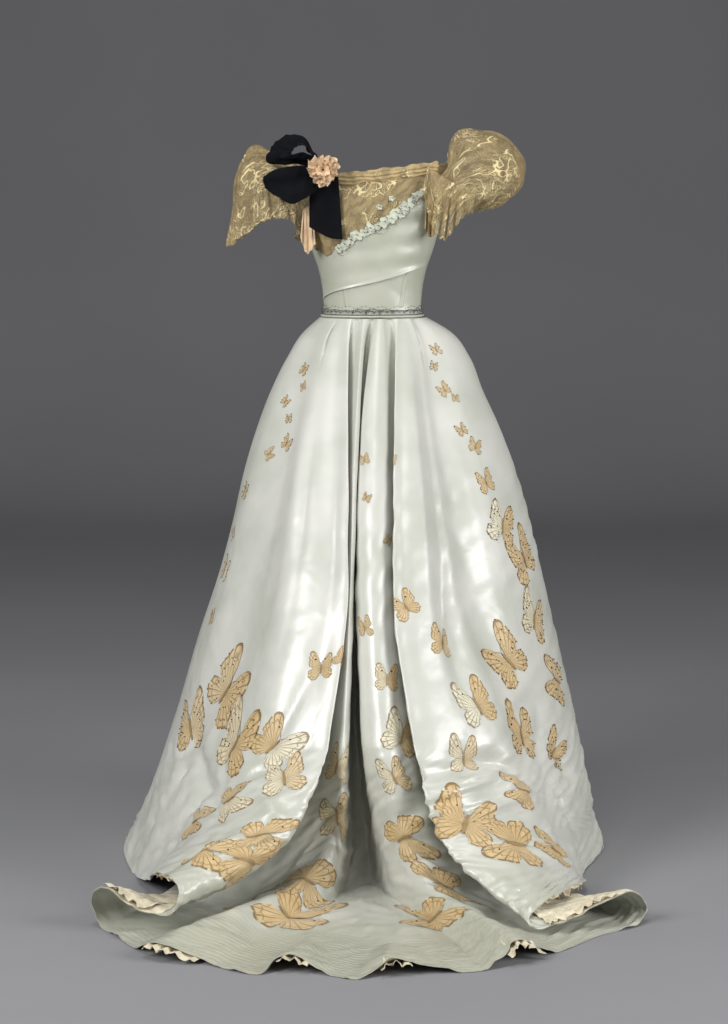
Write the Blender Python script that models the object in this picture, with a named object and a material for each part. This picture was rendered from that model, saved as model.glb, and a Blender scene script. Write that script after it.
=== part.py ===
"""Ball gown with a train, worn form, seen best from behind. Metres, +Z up, the back towards +Y.

The origin is the centre of the waist, where the wearer holds the gown up. The wearer's left is +X.
"""

import math
from collections import namedtuple

import bpy
import numpy as np

# Driving sizes
FLOOR = -1.03
WALL = 0.0014
SEAM_GAP = 0.0003
LAYER = WALL + SEAM_GAP
UNDERARM_DROP = 0.062
ARMHOLE_HEIGHT = 0.235
ARMHOLE_TURN = 42.7
ARMHOLE_LEAD = -2.0
SKIRT_TOP = -0.0037
BODICE_FOOT = -0.0032
BAND_TOP = 0.0165
BAND_FOOT = 0.0028
KNEE = -0.75
MID = -0.48
LOW_HIP = -0.62
FRONT_BREAK = -0.93
FRONT_BREAK_SHARE = 0.55

# Skirt silhouette without its folds: a row per height, half widths and depths from the waist's centre
Bell = namedtuple("Bell", "z left right back front")
BELL = (
    Bell(0.00, 0.0955, 0.0965, 0.082, 0.086),
    Bell(-0.03, 0.130, 0.148, 0.106, 0.106),
    Bell(-0.08, 0.163, 0.187, 0.142, 0.127),
    Bell(-0.14, 0.193, 0.211, 0.176, 0.144),
    Bell(-0.21, 0.220, 0.243, 0.213, 0.158),
    Bell(-0.30, 0.247, 0.277, 0.264, 0.174),
    Bell(-0.40, 0.270, 0.306, 0.317, 0.191),
    Bell(-0.48, 0.291, 0.325, 0.355, 0.205),
    Bell(-0.62, 0.337, 0.357, 0.418, 0.230),
    Bell(-0.75, 0.375, 0.388, 0.474, 0.254),
)

# Fold lines of the back, from the left side round to the right side. Each runs from the waist, at a
# turn in degrees with a tuck in or out, through mid and knee height and the break at the floor to the hem
Fold = namedtuple("Fold", "name turn tuck mid_x mid_y knee_x knee_y break_x break_y break_z hem_x hem_y hem_z")
FOLDS = (
    Fold("left side", 0, 0, 0.291, 0, 0.375, 0, 0.437, 0.02, -0.93, 0.483, 0.046, -1.03),
    Fold("left back side", 20, 0, 0.27, 0.13, 0.345, 0.165, 0.408, 0.205, -0.93, 0.45, 0.255, -1.03),
    Fold("left dip", 35, 0, 0.213, 0.214, 0.287, 0.268, 0.352, 0.35, -0.915, 0.408, 0.42, -1.002),
    Fold("left swell", 45, 0, 0.176, 0.284, 0.243, 0.36, 0.312, 0.465, -0.893, 0.384, 0.54, -0.96),
    Fold("left soft crest", 52, 0, 0.144, 0.327, 0.197, 0.425, 0.262, 0.545, -0.878, 0.364, 0.602, -0.944),
    Fold("left lead", 57, 0.001, 0.094, 0.342, 0.137, 0.458, 0.205, 0.578, -0.874, 0.35, 0.65, -0.936),
    Fold("left fold", 61.5, 0.002, 0.045, 0.358, 0.08, 0.478, 0.149, 0.568, -0.886, 0.332, 0.69, -0.954),
    Fold("left under", 65.5, 0.001, 0.055, 0.337, 0.09, 0.45, 0.165, 0.548, -0.912, 0.345, 0.702, -0.986),
    Fold("left under mid", 68, -0.002, 0.08, 0.3, 0.126, 0.386, 0.262, 0.52, -0.98, 0.398, 0.702, -0.983),
    Fold("left valley top", 70, -0.004, 0.101, 0.268, 0.158, 0.328, 0.345, 0.484, -1, 0.461, 0.664, -0.955),
    Fold("left valley", 72, -0.005, 0.106, 0.259, 0.167, 0.315, 0.372, 0.472, -1.012, 0.487, 0.63, -0.986),
    Fold("left valley low", 74, -0.004, 0.101, 0.25, 0.16, 0.302, 0.352, 0.462, -1.022, 0.478, 0.634, -1.02),
    Fold("left inner", 76.5, -0.002, 0.066, 0.286, 0.105, 0.358, 0.225, 0.455, -1.026, 0.439, 0.699, -1.03),
    Fold("left ridge side", 79, 0.002, 0.05, 0.325, 0.068, 0.436, 0.113, 0.428, -0.96, 0.401, 0.774, -1.03),
    Fold("left ridge", 81.8, 0.003, 0.041, 0.346, 0.052, 0.457, 0.084, 0.436, -0.952, 0.357, 0.84, -0.998),
    Fold("left ridge foot", 84.5, 0.001, 0.034, 0.328, 0.044, 0.432, 0.068, 0.44, -1, 0.28, 0.866, -1.023),
    Fold("left floor outer", 86, -0.002, 0.0355, 0.294, 0.042, 0.38, 0.056, 0.412, -1.026, 0.195, 0.927, -1.03),
    Fold("left floor crest", 87.2, -0.004, 0.037, 0.262, 0.042, 0.326, 0.044, 0.376, -1.03, 0.14, 0.905, -1.001),
    Fold("left floor inner", 88.5, -0.006, 0.036, 0.236, 0.038, 0.288, 0.026, 0.35, -1.03, 0.063, 0.938, -1.03),
    Fold("centre back", 90, -0.0065, 0.032, 0.229, 0.032, 0.275, 0.004, 0.335, -1.03, 0.031, 0.955, -1.03),
    Fold("right floor inner", 91.5, -0.006, 0.028, 0.236, 0.026, 0.288, -0.006, 0.346, -1.03, -0.025, 0.93, -1.005),
    Fold("right floor crest", 92.8, -0.004, 0.027, 0.262, 0.021, 0.326, -0.014, 0.374, -1.03, -0.09, 0.925, -1.014),
    Fold("right floor outer", 94, -0.002, 0.0285, 0.294, 0.019, 0.38, -0.026, 0.416, -1.024, -0.166, 0.91, -1.03),
    Fold("right ridge foot", 95.5, 0.001, 0.029, 0.328, 0.018, 0.436, -0.038, 0.47, -0.992, -0.203, 0.892, -1.017),
    Fold("right ridge", 98.2, 0.003, 0, 0.352, -0.02, 0.464, -0.075, 0.53, -0.952, -0.236, 0.862, -0.99),
    Fold("right ridge side", 101, 0.002, -0.03, 0.337, -0.06, 0.44, -0.135, 0.537, -0.975, -0.312, 0.792, -1.03),
    Fold("right inner", 103.5, -0.002, -0.055, 0.289, -0.099, 0.364, -0.235, 0.478, -1.022, -0.393, 0.687, -1.03),
    Fold("right valley low", 106, -0.005, -0.088, 0.25, -0.153, 0.3, -0.335, 0.452, -1.024, -0.452, 0.64, -1.026),
    Fold("right valley", 108, -0.006, -0.095, 0.26, -0.16, 0.313, -0.354, 0.458, -1.014, -0.476, 0.602, -1.004),
    Fold("right valley top", 110, -0.005, -0.09, 0.27, -0.152, 0.327, -0.335, 0.47, -1.004, -0.445, 0.64, -0.967),
    Fold("right under mid", 112, -0.003, -0.068, 0.305, -0.118, 0.388, -0.245, 0.516, -0.985, -0.349, 0.684, -0.998),
    Fold("right under", 114.5, 0, -0.049, 0.337, -0.085, 0.449, -0.152, 0.55, -0.925, -0.278, 0.704, -1.014),
    Fold("right fold", 118.5, 0.003, -0.037, 0.36, -0.073, 0.48, -0.122, 0.566, -0.899, -0.266, 0.69, -1),
    Fold("right lead", 123, 0.001, -0.072, 0.353, -0.12, 0.468, -0.18, 0.562, -0.89, -0.284, 0.668, -0.984),
    Fold("right second lead", 128, 0.001, -0.112, 0.327, -0.18, 0.432, -0.252, 0.505, -0.898, -0.338, 0.57, -0.98),
    Fold("right second fold", 133.5, 0.003, -0.147, 0.296, -0.238, 0.386, -0.317, 0.428, -0.915, -0.378, 0.44, -0.999),
    Fold("right dip", 139, -0.002, -0.178, 0.248, -0.266, 0.325, -0.34, 0.35, -0.93, -0.384, 0.34, -1.024),
    Fold("right back seam", 150, 0, -0.248, 0.196, -0.318, 0.238, -0.366, 0.262, -0.925, -0.392, 0.265, -1.03),
    Fold("right back side", 164, 0, -0.303, 0.105, -0.366, 0.13, -0.405, 0.15, -0.93, -0.42, 0.162, -1.03),
    Fold("right side", 180, 0, -0.325, 0, -0.388, 0, -0.425, 0.03, -0.93, -0.447, 0.062, -1.03),
)

# Flutes of the front, from the right side round to the left side
Flute = namedtuple("Flute", "name turn swell hem_x hem_y")
FLUTES = (
    Flute("right front side", 203, 0.000, -0.430, -0.110),
    Flute("right front seam", 225, -0.004, -0.345, -0.245),
    Flute("right front swell", 247, 0.005, -0.185, -0.335),
    Flute("front centre", 270, -0.002, 0.005, -0.362),
    Flute("left front swell", 293, 0.005, 0.205, -0.330),
    Flute("left front seam", 315, -0.004, 0.375, -0.245),
    Flute("left front side", 337, 0.000, 0.468, -0.115),
)

# Rows of the skirt from the waist down to the knee, as a share of that height, and below it in
# fold stations: 0 is the knee, 1 the break at the floor and 2 the hem
UPPER_ROWS = (0.0, 0.05, 0.13, 0.25, 0.41, 0.60, 0.80)
LOWER_ROWS = (0.0, 0.4, 0.72, 1.0, 1.25, 1.5, 1.75, 2.0)
COLUMNS_PER_FOLD = 2

# Torso sections of the bodice: a row per height
Torso = namedtuple("Torso", "z half_width back front")
TORSO = (
    Torso(-0.01, 0.0940, 0.0790, 0.0840),
    Torso(0.0, 0.0940, 0.0790, 0.0842),
    Torso(0.03, 0.0955, 0.0800, 0.0870),
    Torso(0.06, 0.0990, 0.0830, 0.0950),
    Torso(0.09, 0.1055, 0.0870, 0.1060),
    Torso(0.12, 0.1160, 0.0910, 0.1170),
    Torso(0.155, 0.1265, 0.0950, 0.1250),
    Torso(0.19, 0.1360, 0.0970, 0.1240),
    Torso(0.23, 0.1440, 0.0960, 0.1150),
    Torso(0.27, 0.1500, 0.0910, 0.1030),
    Torso(0.32, 0.1530, 0.0830, 0.0920),
)
ROUNDNESS = 2.25

# Neckline height by the turn from the left side, degrees, all round
Neckline = namedtuple("Neckline", "turn z")
NECKLINE = (
    Neckline(0, 0.297),
    Neckline(20, 0.290),
    Neckline(40, 0.274),
    Neckline(65, 0.262),
    Neckline(90, 0.268),
    Neckline(115, 0.276),
    Neckline(140, 0.285),
    Neckline(160, 0.291),
    Neckline(180, 0.297),
    Neckline(200, 0.288),
    Neckline(225, 0.252),
    Neckline(270, 0.215),
    Neckline(315, 0.252),
    Neckline(340, 0.288),
    Neckline(360, 0.297),
)


def centripetal(points, axis):
    """Gaps between following points along an axis, as the root of their distance."""
    step = np.linalg.norm(np.diff(points, axis=axis), axis=-1, keepdims=True)
    return np.sqrt(np.maximum(step, 1e-6))


def bend(points, at):
    """A smooth curve through points[station, ...], read at the stations in `at`.

    Each tangent is the weighted mean of the two chords at its point, and between two points the
    curve is the cubic that keeps both points and both tangents.
    """
    gap = centripetal(points, 0)
    chord = np.diff(points, axis=0) / gap
    inner = (chord[:-1] * gap[1:] + chord[1:] * gap[:-1]) / (gap[1:] + gap[:-1])
    tangent = np.concatenate([chord[:1], inner, chord[-1:]])
    start = np.clip(np.floor(at).astype(int), 0, len(points) - 2)
    share = (np.asarray(at) - start).reshape((-1,) + (1,) * (points.ndim - 1))
    length = gap[start]
    return hermite(points[start], points[start + 1], tangent[start], tangent[start + 1], length, share)


def bend_round(points, at):
    """The same curve through a closed loop of points[station, ...]."""
    count = len(points)
    ring = np.concatenate([points[-2:], points, points[:3]])
    return bend(ring, np.mod(at, count) + 2)


def read_table(rows, key, field, at):
    """A column of a table of sections, read smoothly at the given heights or turns."""
    places = np.array([getattr(row, key) for row in rows], float)
    values = np.array([getattr(row, field) for row in rows], float)
    order = np.argsort(places)
    places, values = places[order], values[order]
    at = np.clip(at, places[0], places[-1])
    slope = np.gradient(values, places)
    start = np.clip(np.searchsorted(places, at, side="right") - 1, 0, len(places) - 2)
    width = places[start + 1] - places[start]
    share = (at - places[start]) / width
    return hermite(values[start], values[start + 1], slope[start], slope[start + 1], width, share)


def between_three(first, second, third, at_first, at_second, at_third, at):
    """A curve through three values at three places that never swings past them.

    It is the cubic of each stretch, with the chord's slope at the ends and, in the middle, the
    harmonic mean of both slopes, or none where they point opposite ways.
    """
    before, after = at_second - at_first, at_third - at_second
    slope_before, slope_after = (second - first) / before, (third - second) / after
    product = slope_before * slope_after
    mean = 2 * product / np.where(product > 0, slope_before + slope_after, 1.0)
    slope = np.where(product > 0, mean, 0.0)
    early = (at - at_first) / before
    late = (at - at_second) / after
    lower = hermite(first, second, slope_before, slope, before, early)
    upper = hermite(second, third, slope, slope_after, after, late)
    return np.where(early <= 1.0, lower, upper)


def hermite(start, end, start_slope, end_slope, length, share):
    """The cubic between two values with the given slopes at both."""
    return (
        (2 * share**3 - 3 * share**2 + 1) * start
        + (share**3 - 2 * share**2 + share) * length * start_slope
        + (3 * share**2 - 2 * share**3) * end
        + (share**3 - share**2) * length * end_slope
    )


def bell_reach(x, y, z):
    """Half width and depth of the bell at each height, on the side where each line lies."""
    wide = np.where(x >= 0, read_table(BELL, "z", "left", z), read_table(BELL, "z", "right", z))
    deep = np.where(y >= 0, read_table(BELL, "z", "back", z), read_table(BELL, "z", "front", z))
    return wide, deep


def fold_stations():
    """Waist, mid, knee, break and hem points of every line round the skirt."""
    waist, mid, knee, floor, hem = [], [], [], [], []
    for fold in FOLDS:
        turn = math.radians(fold.turn)
        x, y = math.cos(turn), math.sin(turn)
        wide, deep = bell_reach(x, y, 0.0)
        waist.append((x * (wide + fold.tuck), y * (deep + fold.tuck), 0.0))
        mid.append((fold.mid_x, fold.mid_y, MID))
        knee.append((fold.knee_x, fold.knee_y, KNEE))
        floor.append((fold.break_x, fold.break_y, fold.break_z))
        hem.append((fold.hem_x, fold.hem_y, fold.hem_z))
    for flute in FLUTES:
        turn = math.radians(flute.turn)
        x, y = math.cos(turn), math.sin(turn)
        for height, swell, points in ((0.0, 0.0, waist), (MID, 0.6, mid), (KNEE, 1.0, knee)):
            wide, deep = bell_reach(x, y, height)
            points.append((x * (wide + flute.swell * swell), y * (deep + flute.swell * swell), height))
        reach_x = knee[-1][0] + FRONT_BREAK_SHARE * (flute.hem_x - knee[-1][0])
        reach_y = knee[-1][1] + FRONT_BREAK_SHARE * (flute.hem_y - knee[-1][1])
        floor.append((reach_x, reach_y, FRONT_BREAK))
        hem.append((flute.hem_x, flute.hem_y, FLOOR))
    return [np.array(points) for points in (waist, mid, knee, floor, hem)]


WAIST_LINE, MID_LINE, KNEE_LINE, BREAK_LINE, HEM_LINE = fold_stations()
LINES = len(FOLDS) + len(FLUTES)
LINE_NUMBER = {line.name: number for number, line in enumerate(FOLDS + FLUTES)}


def upper_lines(z):
    """The lines above the knee at the heights z: each spreads from the waist as the bell does."""
    z = np.asarray(z, float)[:, None]
    x_side = MID_LINE[None, :, 0] + 1e-9
    y_side = MID_LINE[None, :, 1] + 1e-9
    wide, deep = bell_reach(x_side, y_side, z)
    wide_knots = [bell_reach(x_side, y_side, np.full_like(x_side, h))[0] for h in (0.0, MID, KNEE)]
    deep_knots = [bell_reach(x_side, y_side, np.full_like(x_side, h))[1] for h in (0.0, MID, KNEE)]
    x = between_three(WAIST_LINE[:, 0], MID_LINE[:, 0], KNEE_LINE[:, 0], *wide_knots, wide)
    y = between_three(WAIST_LINE[:, 1], MID_LINE[:, 1], KNEE_LINE[:, 1], *deep_knots, deep)
    return np.stack([x, y, np.broadcast_to(z, x.shape)], axis=-1)


def skirt(rows, columns):
    """Outer face of the skirt, clear of the floor, at rows down and columns round.

    A row from 0 to 1 is a share of the height from the waist to the knee, and from 1 to 3 it
    counts the stations below. A column counts the fold lines round the waist.
    """
    rows = np.asarray(rows, float)
    above = upper_lines(SKIRT_TOP + (KNEE - SKIRT_TOP) * np.minimum(rows, 1.0))
    low_hip = upper_lines([LOW_HIP])[0]
    stations = np.stack([low_hip, KNEE_LINE, BREAK_LINE, HEM_LINE])
    below = bend(stations, np.maximum(rows, 1.0))
    lines = np.where((rows <= 1.0)[:, None, None], above, below)
    points = bend_round(lines.transpose(1, 0, 2), np.asarray(columns, float)).transpose(1, 0, 2)
    points[..., 2] = np.maximum(points[..., 2], FLOOR + WALL)
    return points


def seam_trim(grid, gap=SEAM_GAP / 2):
    """Draws the two side edges of a grid in by half a seam's gap."""
    trimmed = grid.copy()
    for edge, beside in ((0, 1), (-1, -2)):
        way = grid[:, beside] - grid[:, edge]
        trimmed[:, edge] += gap * way / np.maximum(np.linalg.norm(way, axis=-1, keepdims=True), 1e-9)
    return trimmed


def material(name, colour, roughness, metallic=0.0):
    """A plain finish for one sub-part."""
    finish = bpy.data.materials.get(name)
    if finish is None:
        finish = bpy.data.materials.new(name)
        finish.use_nodes = True
        shader = finish.node_tree.nodes["Principled BSDF"]
        shader.inputs["Base Color"].default_value = (*colour, 1.0)
        shader.inputs["Roughness"].default_value = roughness
        shader.inputs["Metallic"].default_value = metallic
    return finish


def triangles_of(rows, cols, closed):
    """Triangles of a grid of points, all split along the same diagonal."""
    across = cols if closed else cols - 1
    row = np.repeat(np.arange(rows - 1), across)
    col = np.tile(np.arange(across), rows - 1)
    nxt = (col + 1) % cols
    a, b = row * cols + col, row * cols + nxt
    c, d = (row + 1) * cols + nxt, (row + 1) * cols + col
    return np.concatenate([np.stack([a, d, c], 1), np.stack([a, c, b], 1)])


def rim_of(rows, cols, closed):
    """The points along the open border of a grid, as runs in the order of the faces."""
    top = list(range(cols)) + ([0] if closed else [])
    bottom = [(rows - 1) * cols + c for c in top]
    runs = [top[::-1], bottom]
    if not closed:
        left = [r * cols for r in range(rows)]
        right = [r * cols + cols - 1 for r in range(rows)]
        runs += [left, right[::-1]]
    return runs


def wall(name, face, back, finish, closed=False):
    """A closed wall between a face grid and a back grid of the same size."""
    rows, cols = face.shape[:2]
    points = np.concatenate([face.reshape(-1, 3), back.reshape(-1, 3)])
    count = rows * cols
    front = triangles_of(rows, cols, closed)
    faces = [front, front[:, ::-1] + count]
    for run in rim_of(rows, cols, closed):
        here, there = np.array(run[:-1]), np.array(run[1:])
        faces.append(np.stack([there, here, here + count], 1))
        faces.append(np.stack([there, here + count, there + count], 1))
    return add_mesh(name, points, np.concatenate(faces), finish)


def add_mesh(name, points, faces, finish):
    """A closed mesh with its faces turned outwards, added as one piece."""
    a, b, c = points[faces[:, 0]], points[faces[:, 1]], points[faces[:, 2]]
    if np.einsum("ij,ij->i", a, np.cross(b, c)).sum() < 0:
        faces = faces[:, ::-1]
    mesh = bpy.data.meshes.new(name)
    mesh.from_pydata(points.tolist(), [], faces.tolist())
    mesh.materials.append(finish)
    mesh.shade_smooth()
    mesh.set_sharp_from_angle(angle=math.radians(40))
    piece = bpy.data.objects.new(name, mesh)
    bpy.context.collection.objects.link(piece)
    return piece


def unit(vectors):
    return vectors / np.maximum(np.linalg.norm(vectors, axis=-1, keepdims=True), 1e-9)


def way_through(grid, axis, closed):
    """The mean direction of the two steps that meet at each point, along one axis of a grid."""
    step = unit(np.roll(grid, -1, axis) - grid)
    if closed:
        return step + np.roll(step, 1, axis)
    steps = np.swapaxes(step, 0, axis)[:-1]
    both = np.concatenate([steps[:1], steps[:-1] + steps[1:], steps[-1:]])
    return np.swapaxes(both, 0, axis)


def grid_normal(grid, closed=False):
    """Directions out of a grid whose rows run down and whose columns run anticlockwise."""
    return unit(np.cross(way_through(grid, 0, False), way_through(grid, 1, closed)))


def inner_face(face, normal, thickness, closed=False):
    """The face moved in by the wall's thickness, and by less inside a tight fold, where the full
    thickness would cross itself."""
    depth = np.full(face.shape[:2] + (1,), thickness)
    for _ in range(14):
        back = face - depth * normal
        for axis in (0, 1):
            count = face.shape[axis]
            here = np.arange(count if closed and axis == 1 else count - 1)
            after = (here + 1) % count
            step = np.take(face, after, axis) - np.take(face, here, axis)
            inner_step = np.take(back, after, axis) - np.take(back, here, axis)
            tight = (step * inner_step).sum(-1) < 0.25 * (step * step).sum(-1)
            shrink = np.where(tight, 0.85, 1.0)[..., None]
            for side in (here, after):
                if axis == 0:
                    depth[side] = np.minimum(depth[side], depth[side] * shrink)
                else:
                    depth[:, side] = np.minimum(depth[:, side], depth[:, side] * shrink)
    return face - depth * normal


ROWS = np.concatenate([UPPER_ROWS, 1.0 + np.array(LOWER_ROWS)])
COLUMNS = np.arange(2 * LINES * COLUMNS_PER_FOLD) / COLUMNS_PER_FOLD
SKIRT_FACE = skirt(ROWS, COLUMNS)
SKIRT_NORMAL = grid_normal(SKIRT_FACE)
SKIRT_BACK = inner_face(SKIRT_FACE, SKIRT_NORMAL, WALL)


def column_at(line):
    return int(round(line * COLUMNS_PER_FOLD))


def on_facets(grid, rows, columns):
    """A grid of the skirt read between its points, on the two flat triangles of each cell."""
    row_at = np.interp(rows, ROWS, np.arange(len(ROWS)))
    column_at = np.asarray(columns) * COLUMNS_PER_FOLD
    top = np.clip(np.floor(row_at).astype(int), 0, len(ROWS) - 2)[:, None]
    left = np.floor(column_at).astype(int)[None, :]
    down = (row_at[:, None] - top)[..., None]
    across = (column_at[None, :] - left)[..., None]
    a, b = grid[top, left], grid[top, left + 1]
    c, d = grid[top + 1, left + 1], grid[top + 1, left]
    lower = a + down * (d - a) + across * (c - d)
    upper = a + across * (b - a) + down * (c - b)
    return np.where(down >= across, lower, upper)


SATIN = material("celadon satin", (0.78, 0.82, 0.74), 0.38)
CREAM = material("cream cotton", (0.80, 0.74, 0.60), 0.7)
LACE = material("ecru lace", (0.66, 0.52, 0.33), 0.8)
VELVET = material("midnight velvet", (0.006, 0.007, 0.012), 0.9)
PEACH = material("peach ribbon", (0.80, 0.52, 0.33), 0.5)
BEADING = material("beaded braid", (0.30, 0.30, 0.28), 0.35, 0.5)


def gore(name, first, last):
    """One gore of the skirt, between two fold lines and from the waist to the hem."""
    columns = slice(column_at(first), column_at(last) + 1)
    face, back = SKIRT_FACE[:, columns], SKIRT_BACK[:, columns]
    return wall(name, seam_trim(face), seam_trim(back), SATIN)


def build_skirt():
    centre = LINE_NUMBER["centre back"]
    left_seam = LINE_NUMBER["left back side"]
    right_seam = LINE_NUMBER["right back seam"]
    right_front = LINE_NUMBER["right front seam"]
    left_front = LINE_NUMBER["left front seam"]
    gore("skirt_back_left", left_seam, centre)
    gore("skirt_back_right", centre, right_seam)
    gore("skirt_side_right", right_seam, right_front)
    gore("skirt_front", right_front, left_front)
    gore("skirt_side_left", left_front, LINES + left_seam)


LINING_THICKNESS = 0.001
LINING_ROWS = slice(11, None)

# Facings of the hem where the train folds back: a row per piece, from one line to another
Facing = namedtuple("Facing", "name first last")
FACINGS = (
    Facing("lining_left_upper", 2.5, 5.5),
    Facing("lining_left_lower", 7.5, 9.5),
    Facing("lining_right_upper", 33.0, 35.5),
    Facing("lining_right_lower", 28.5, 30.5),
)


def hem_facing(facing):
    """Facing of the hem, laid against the inside of a gore where the train folds back."""
    columns = slice(column_at(facing.first), column_at(facing.last) + 1)
    normal = SKIRT_NORMAL[LINING_ROWS, columns]
    face = SKIRT_BACK[LINING_ROWS, columns] - SEAM_GAP * normal
    wall(facing.name, face, face - LINING_THICKNESS * normal, CREAM)


# Frills sewn inside the hem: a row per stretch, from one line to another. The clearance is from the
# skirt's face, the drop is how far the waves stand in and the reach how far they pass the hem
Frill = namedtuple("Frill", "name first last clearance drop reach")
LINED = LAYER + SEAM_GAP + LINING_THICKNESS + 2 * SEAM_GAP
UNLINED = LAYER + 2 * SEAM_GAP
FRILLS = (
    Frill("dust_ruffle_left_upper", 3.0, 5.0, LINED, 0.007, 0.0),
    Frill("dust_ruffle_left_lower", 8.0, 9.0, LINED + 0.0016, 0.007, 0.0),
    Frill("dust_ruffle_right_upper", 33.5, 35.0, LINED, 0.007, 0.0),
    Frill("dust_ruffle_right_lower", 29.5, 30.5, LINED, 0.007, 0.0),
    Frill("dust_ruffle_left_ridge", 13.625, 14.75, UNLINED, 0.004, 0.012),
    Frill("dust_ruffle_left_floor", 16.75, 17.375, UNLINED, 0.004, 0.012),
    Frill("dust_ruffle_right_floor", 19.75, 20.5, UNLINED, 0.004, 0.012),
    Frill("dust_ruffle_right_ridge", 23.5, 24.5, UNLINED + 0.0006, 0.004, 0.012),
)
FRILL_WALL = 0.001
FRILL_POINTS_PER_LINE = 16
FRILL_POINTS_PER_WAVE = 4
FRILL_ROWS = (2.75, 3.0)


def dust_ruffle(frill):
    """A gathered frill: flat at its seam, with waves that grow towards its free edge."""
    count = round((frill.last - frill.first) * FRILL_POINTS_PER_LINE) + 1
    columns = frill.first + np.arange(count) / FRILL_POINTS_PER_LINE
    surface = on_facets(SKIRT_FACE, FRILL_ROWS, columns)
    normal = on_facets(SKIRT_NORMAL, FRILL_ROWS, columns)
    surface[-1] += frill.reach * unit(surface[-1] - surface[0])
    wave = 1 + np.sin(np.arange(count) * 2 * math.pi / FRILL_POINTS_PER_WAVE)
    depth = frill.clearance + 0.5 * frill.drop * np.stack([0.0 * wave, wave])[..., None]
    wall(frill.name, surface - depth * normal, surface - (depth + FRILL_WALL) * normal, CREAM)


def build_hem():
    for facing in FACINGS:
        hem_facing(facing)
    for frill in FRILLS:
        dust_ruffle(frill)


def torso(turn, z, out=0.0):
    """A point of the bodice's outer face at a turn in degrees from the left side, at a height."""
    turn = np.radians(turn)
    cosine, sine = np.cos(turn), np.sin(turn)
    wide = read_table(TORSO, "z", "half_width", z) + out
    deep = np.where(
        sine >= 0, read_table(TORSO, "z", "back", z), read_table(TORSO, "z", "front", z)
    ) + out
    radius = (np.abs(cosine) ** ROUNDNESS + np.abs(sine) ** ROUNDNESS) ** (-1 / ROUNDNESS)
    return np.stack(np.broadcast_arrays(wide * radius * cosine, deep * radius * sine, z), axis=-1)


def neck_height(turn):
    return read_table(NECKLINE, "turn", "z", np.mod(turn, 360.0))


def armhole_turn(z):
    """Half turn of the armhole's edge above its middle height."""
    lift = np.clip((z - ARMHOLE_HEIGHT) / UNDERARM_DROP, 0.0, 1.0)
    return ARMHOLE_LEAD + ARMHOLE_TURN * np.sqrt(1 - lift**2)


def armhole_sill(turn):
    """Height of the armhole's lower edge at a turn from the side."""
    share = np.clip((turn - ARMHOLE_LEAD) / ARMHOLE_TURN, -1.0, 1.0)
    return ARMHOLE_HEIGHT - UNDERARM_DROP * np.sqrt(1 - share**2)


BACK_SEAM_TURN = (17.0, ARMHOLE_LEAD + ARMHOLE_TURN)
FRONT_SEAM_TURN = (-20.0, ARMHOLE_LEAD - ARMHOLE_TURN)
LAP_TURN = 1.6
LAP_DEPTH = 0.0014
BODICE_ROWS = 8


def seam_turn(ends, z):
    """Turn of a side seam, from its foot at the waist to its head at the armhole."""
    share = np.clip(z / ARMHOLE_HEIGHT, 0.0, 1.0)
    return ends[0] + (ends[1] - ends[0]) * share


def back_edge(z):
    """Turn of the back panel's side edge: the seam, then the armhole."""
    return np.where(z < ARMHOLE_HEIGHT, seam_turn(BACK_SEAM_TURN, z), armhole_turn(z))


def front_edge(z):
    """Turn of the front panel's side edge: the seam, then the armhole."""
    above = 2 * ARMHOLE_LEAD - armhole_turn(z)
    return np.where(z < ARMHOLE_HEIGHT, seam_turn(FRONT_SEAM_TURN, z), above)


def panel_grid(left_edge, right_edge, levels, cols):
    """Turns and heights of a panel on the torso. The side edges are functions of height and the
    levels, from the head down to the foot, are functions of turn. They are settled by a few
    passes, since each depends on the other."""
    share = np.linspace(0.0, 1.0, cols)[None, :]
    z = np.array([level(np.full(cols, 90.0)) for level in levels])
    for _ in range(12):
        turn = left_edge(z) + (right_edge(z) - left_edge(z)) * share
        z = np.array([level(turn[number]) for number, level in enumerate(levels)])
    return turn, z


def even_levels(head, foot, count):
    """Levels spread evenly from the head to the foot."""
    return [
        lambda turn, share=share: head(turn) + (foot(turn) - head(turn)) * share
        for share in np.linspace(0.0, 1.0, count)
    ]


def level_foot(turn):
    return BODICE_FOOT + 0.0 * turn


def band_line(turn):
    """The level just above the waist band, below which the bodice is straight."""
    return BAND_TOP + 0.0015 + 0.0 * turn


def on_torso(name, grid, out, thickness, finish):
    """A wall on the torso: its inner face is moved out from the grid by `out`."""
    turn, z = grid
    return wall(name, torso(turn, z, out + thickness), torso(turn, z, out), finish)


# Diagonal edges on the back, as heights by the turn from the left side
Diagonal = namedtuple("Diagonal", "turn drape_foot yoke_foot")
DIAGONALS = (
    Diagonal(15, 0.030, 0.150),
    Diagonal(45, 0.046, 0.122),
    Diagonal(70, 0.056, 0.146),
    Diagonal(90, 0.064, 0.170),
    Diagonal(110, 0.074, 0.196),
    Diagonal(130, 0.086, 0.228),
    Diagonal(165, 0.100, 0.250),
)
YOKE_SCALLOPS = 10
SCALLOP_DEPTH = 0.006
YOKE_LAP = 0.012


def drape_foot(turn):
    return read_table(DIAGONALS, "turn", "drape_foot", turn)


def yoke_foot(turn):
    edge = read_table(DIAGONALS, "turn", "yoke_foot", turn)
    return edge - SCALLOP_DEPTH * np.abs(np.sin(np.radians(turn) * YOKE_SCALLOPS))


def drape_head(turn):
    return read_table(DIAGONALS, "turn", "yoke_foot", turn) + YOKE_LAP


# Rows of the back panel: the lace yoke takes the first four and the satin drape the last of its
# own four above the foot, so that each layer lies on the facets of the one below
YOKE_ROWS = slice(0, 4)
DRAPE_ROWS = slice(2, 7)
BACK_COLUMNS = 33


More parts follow.
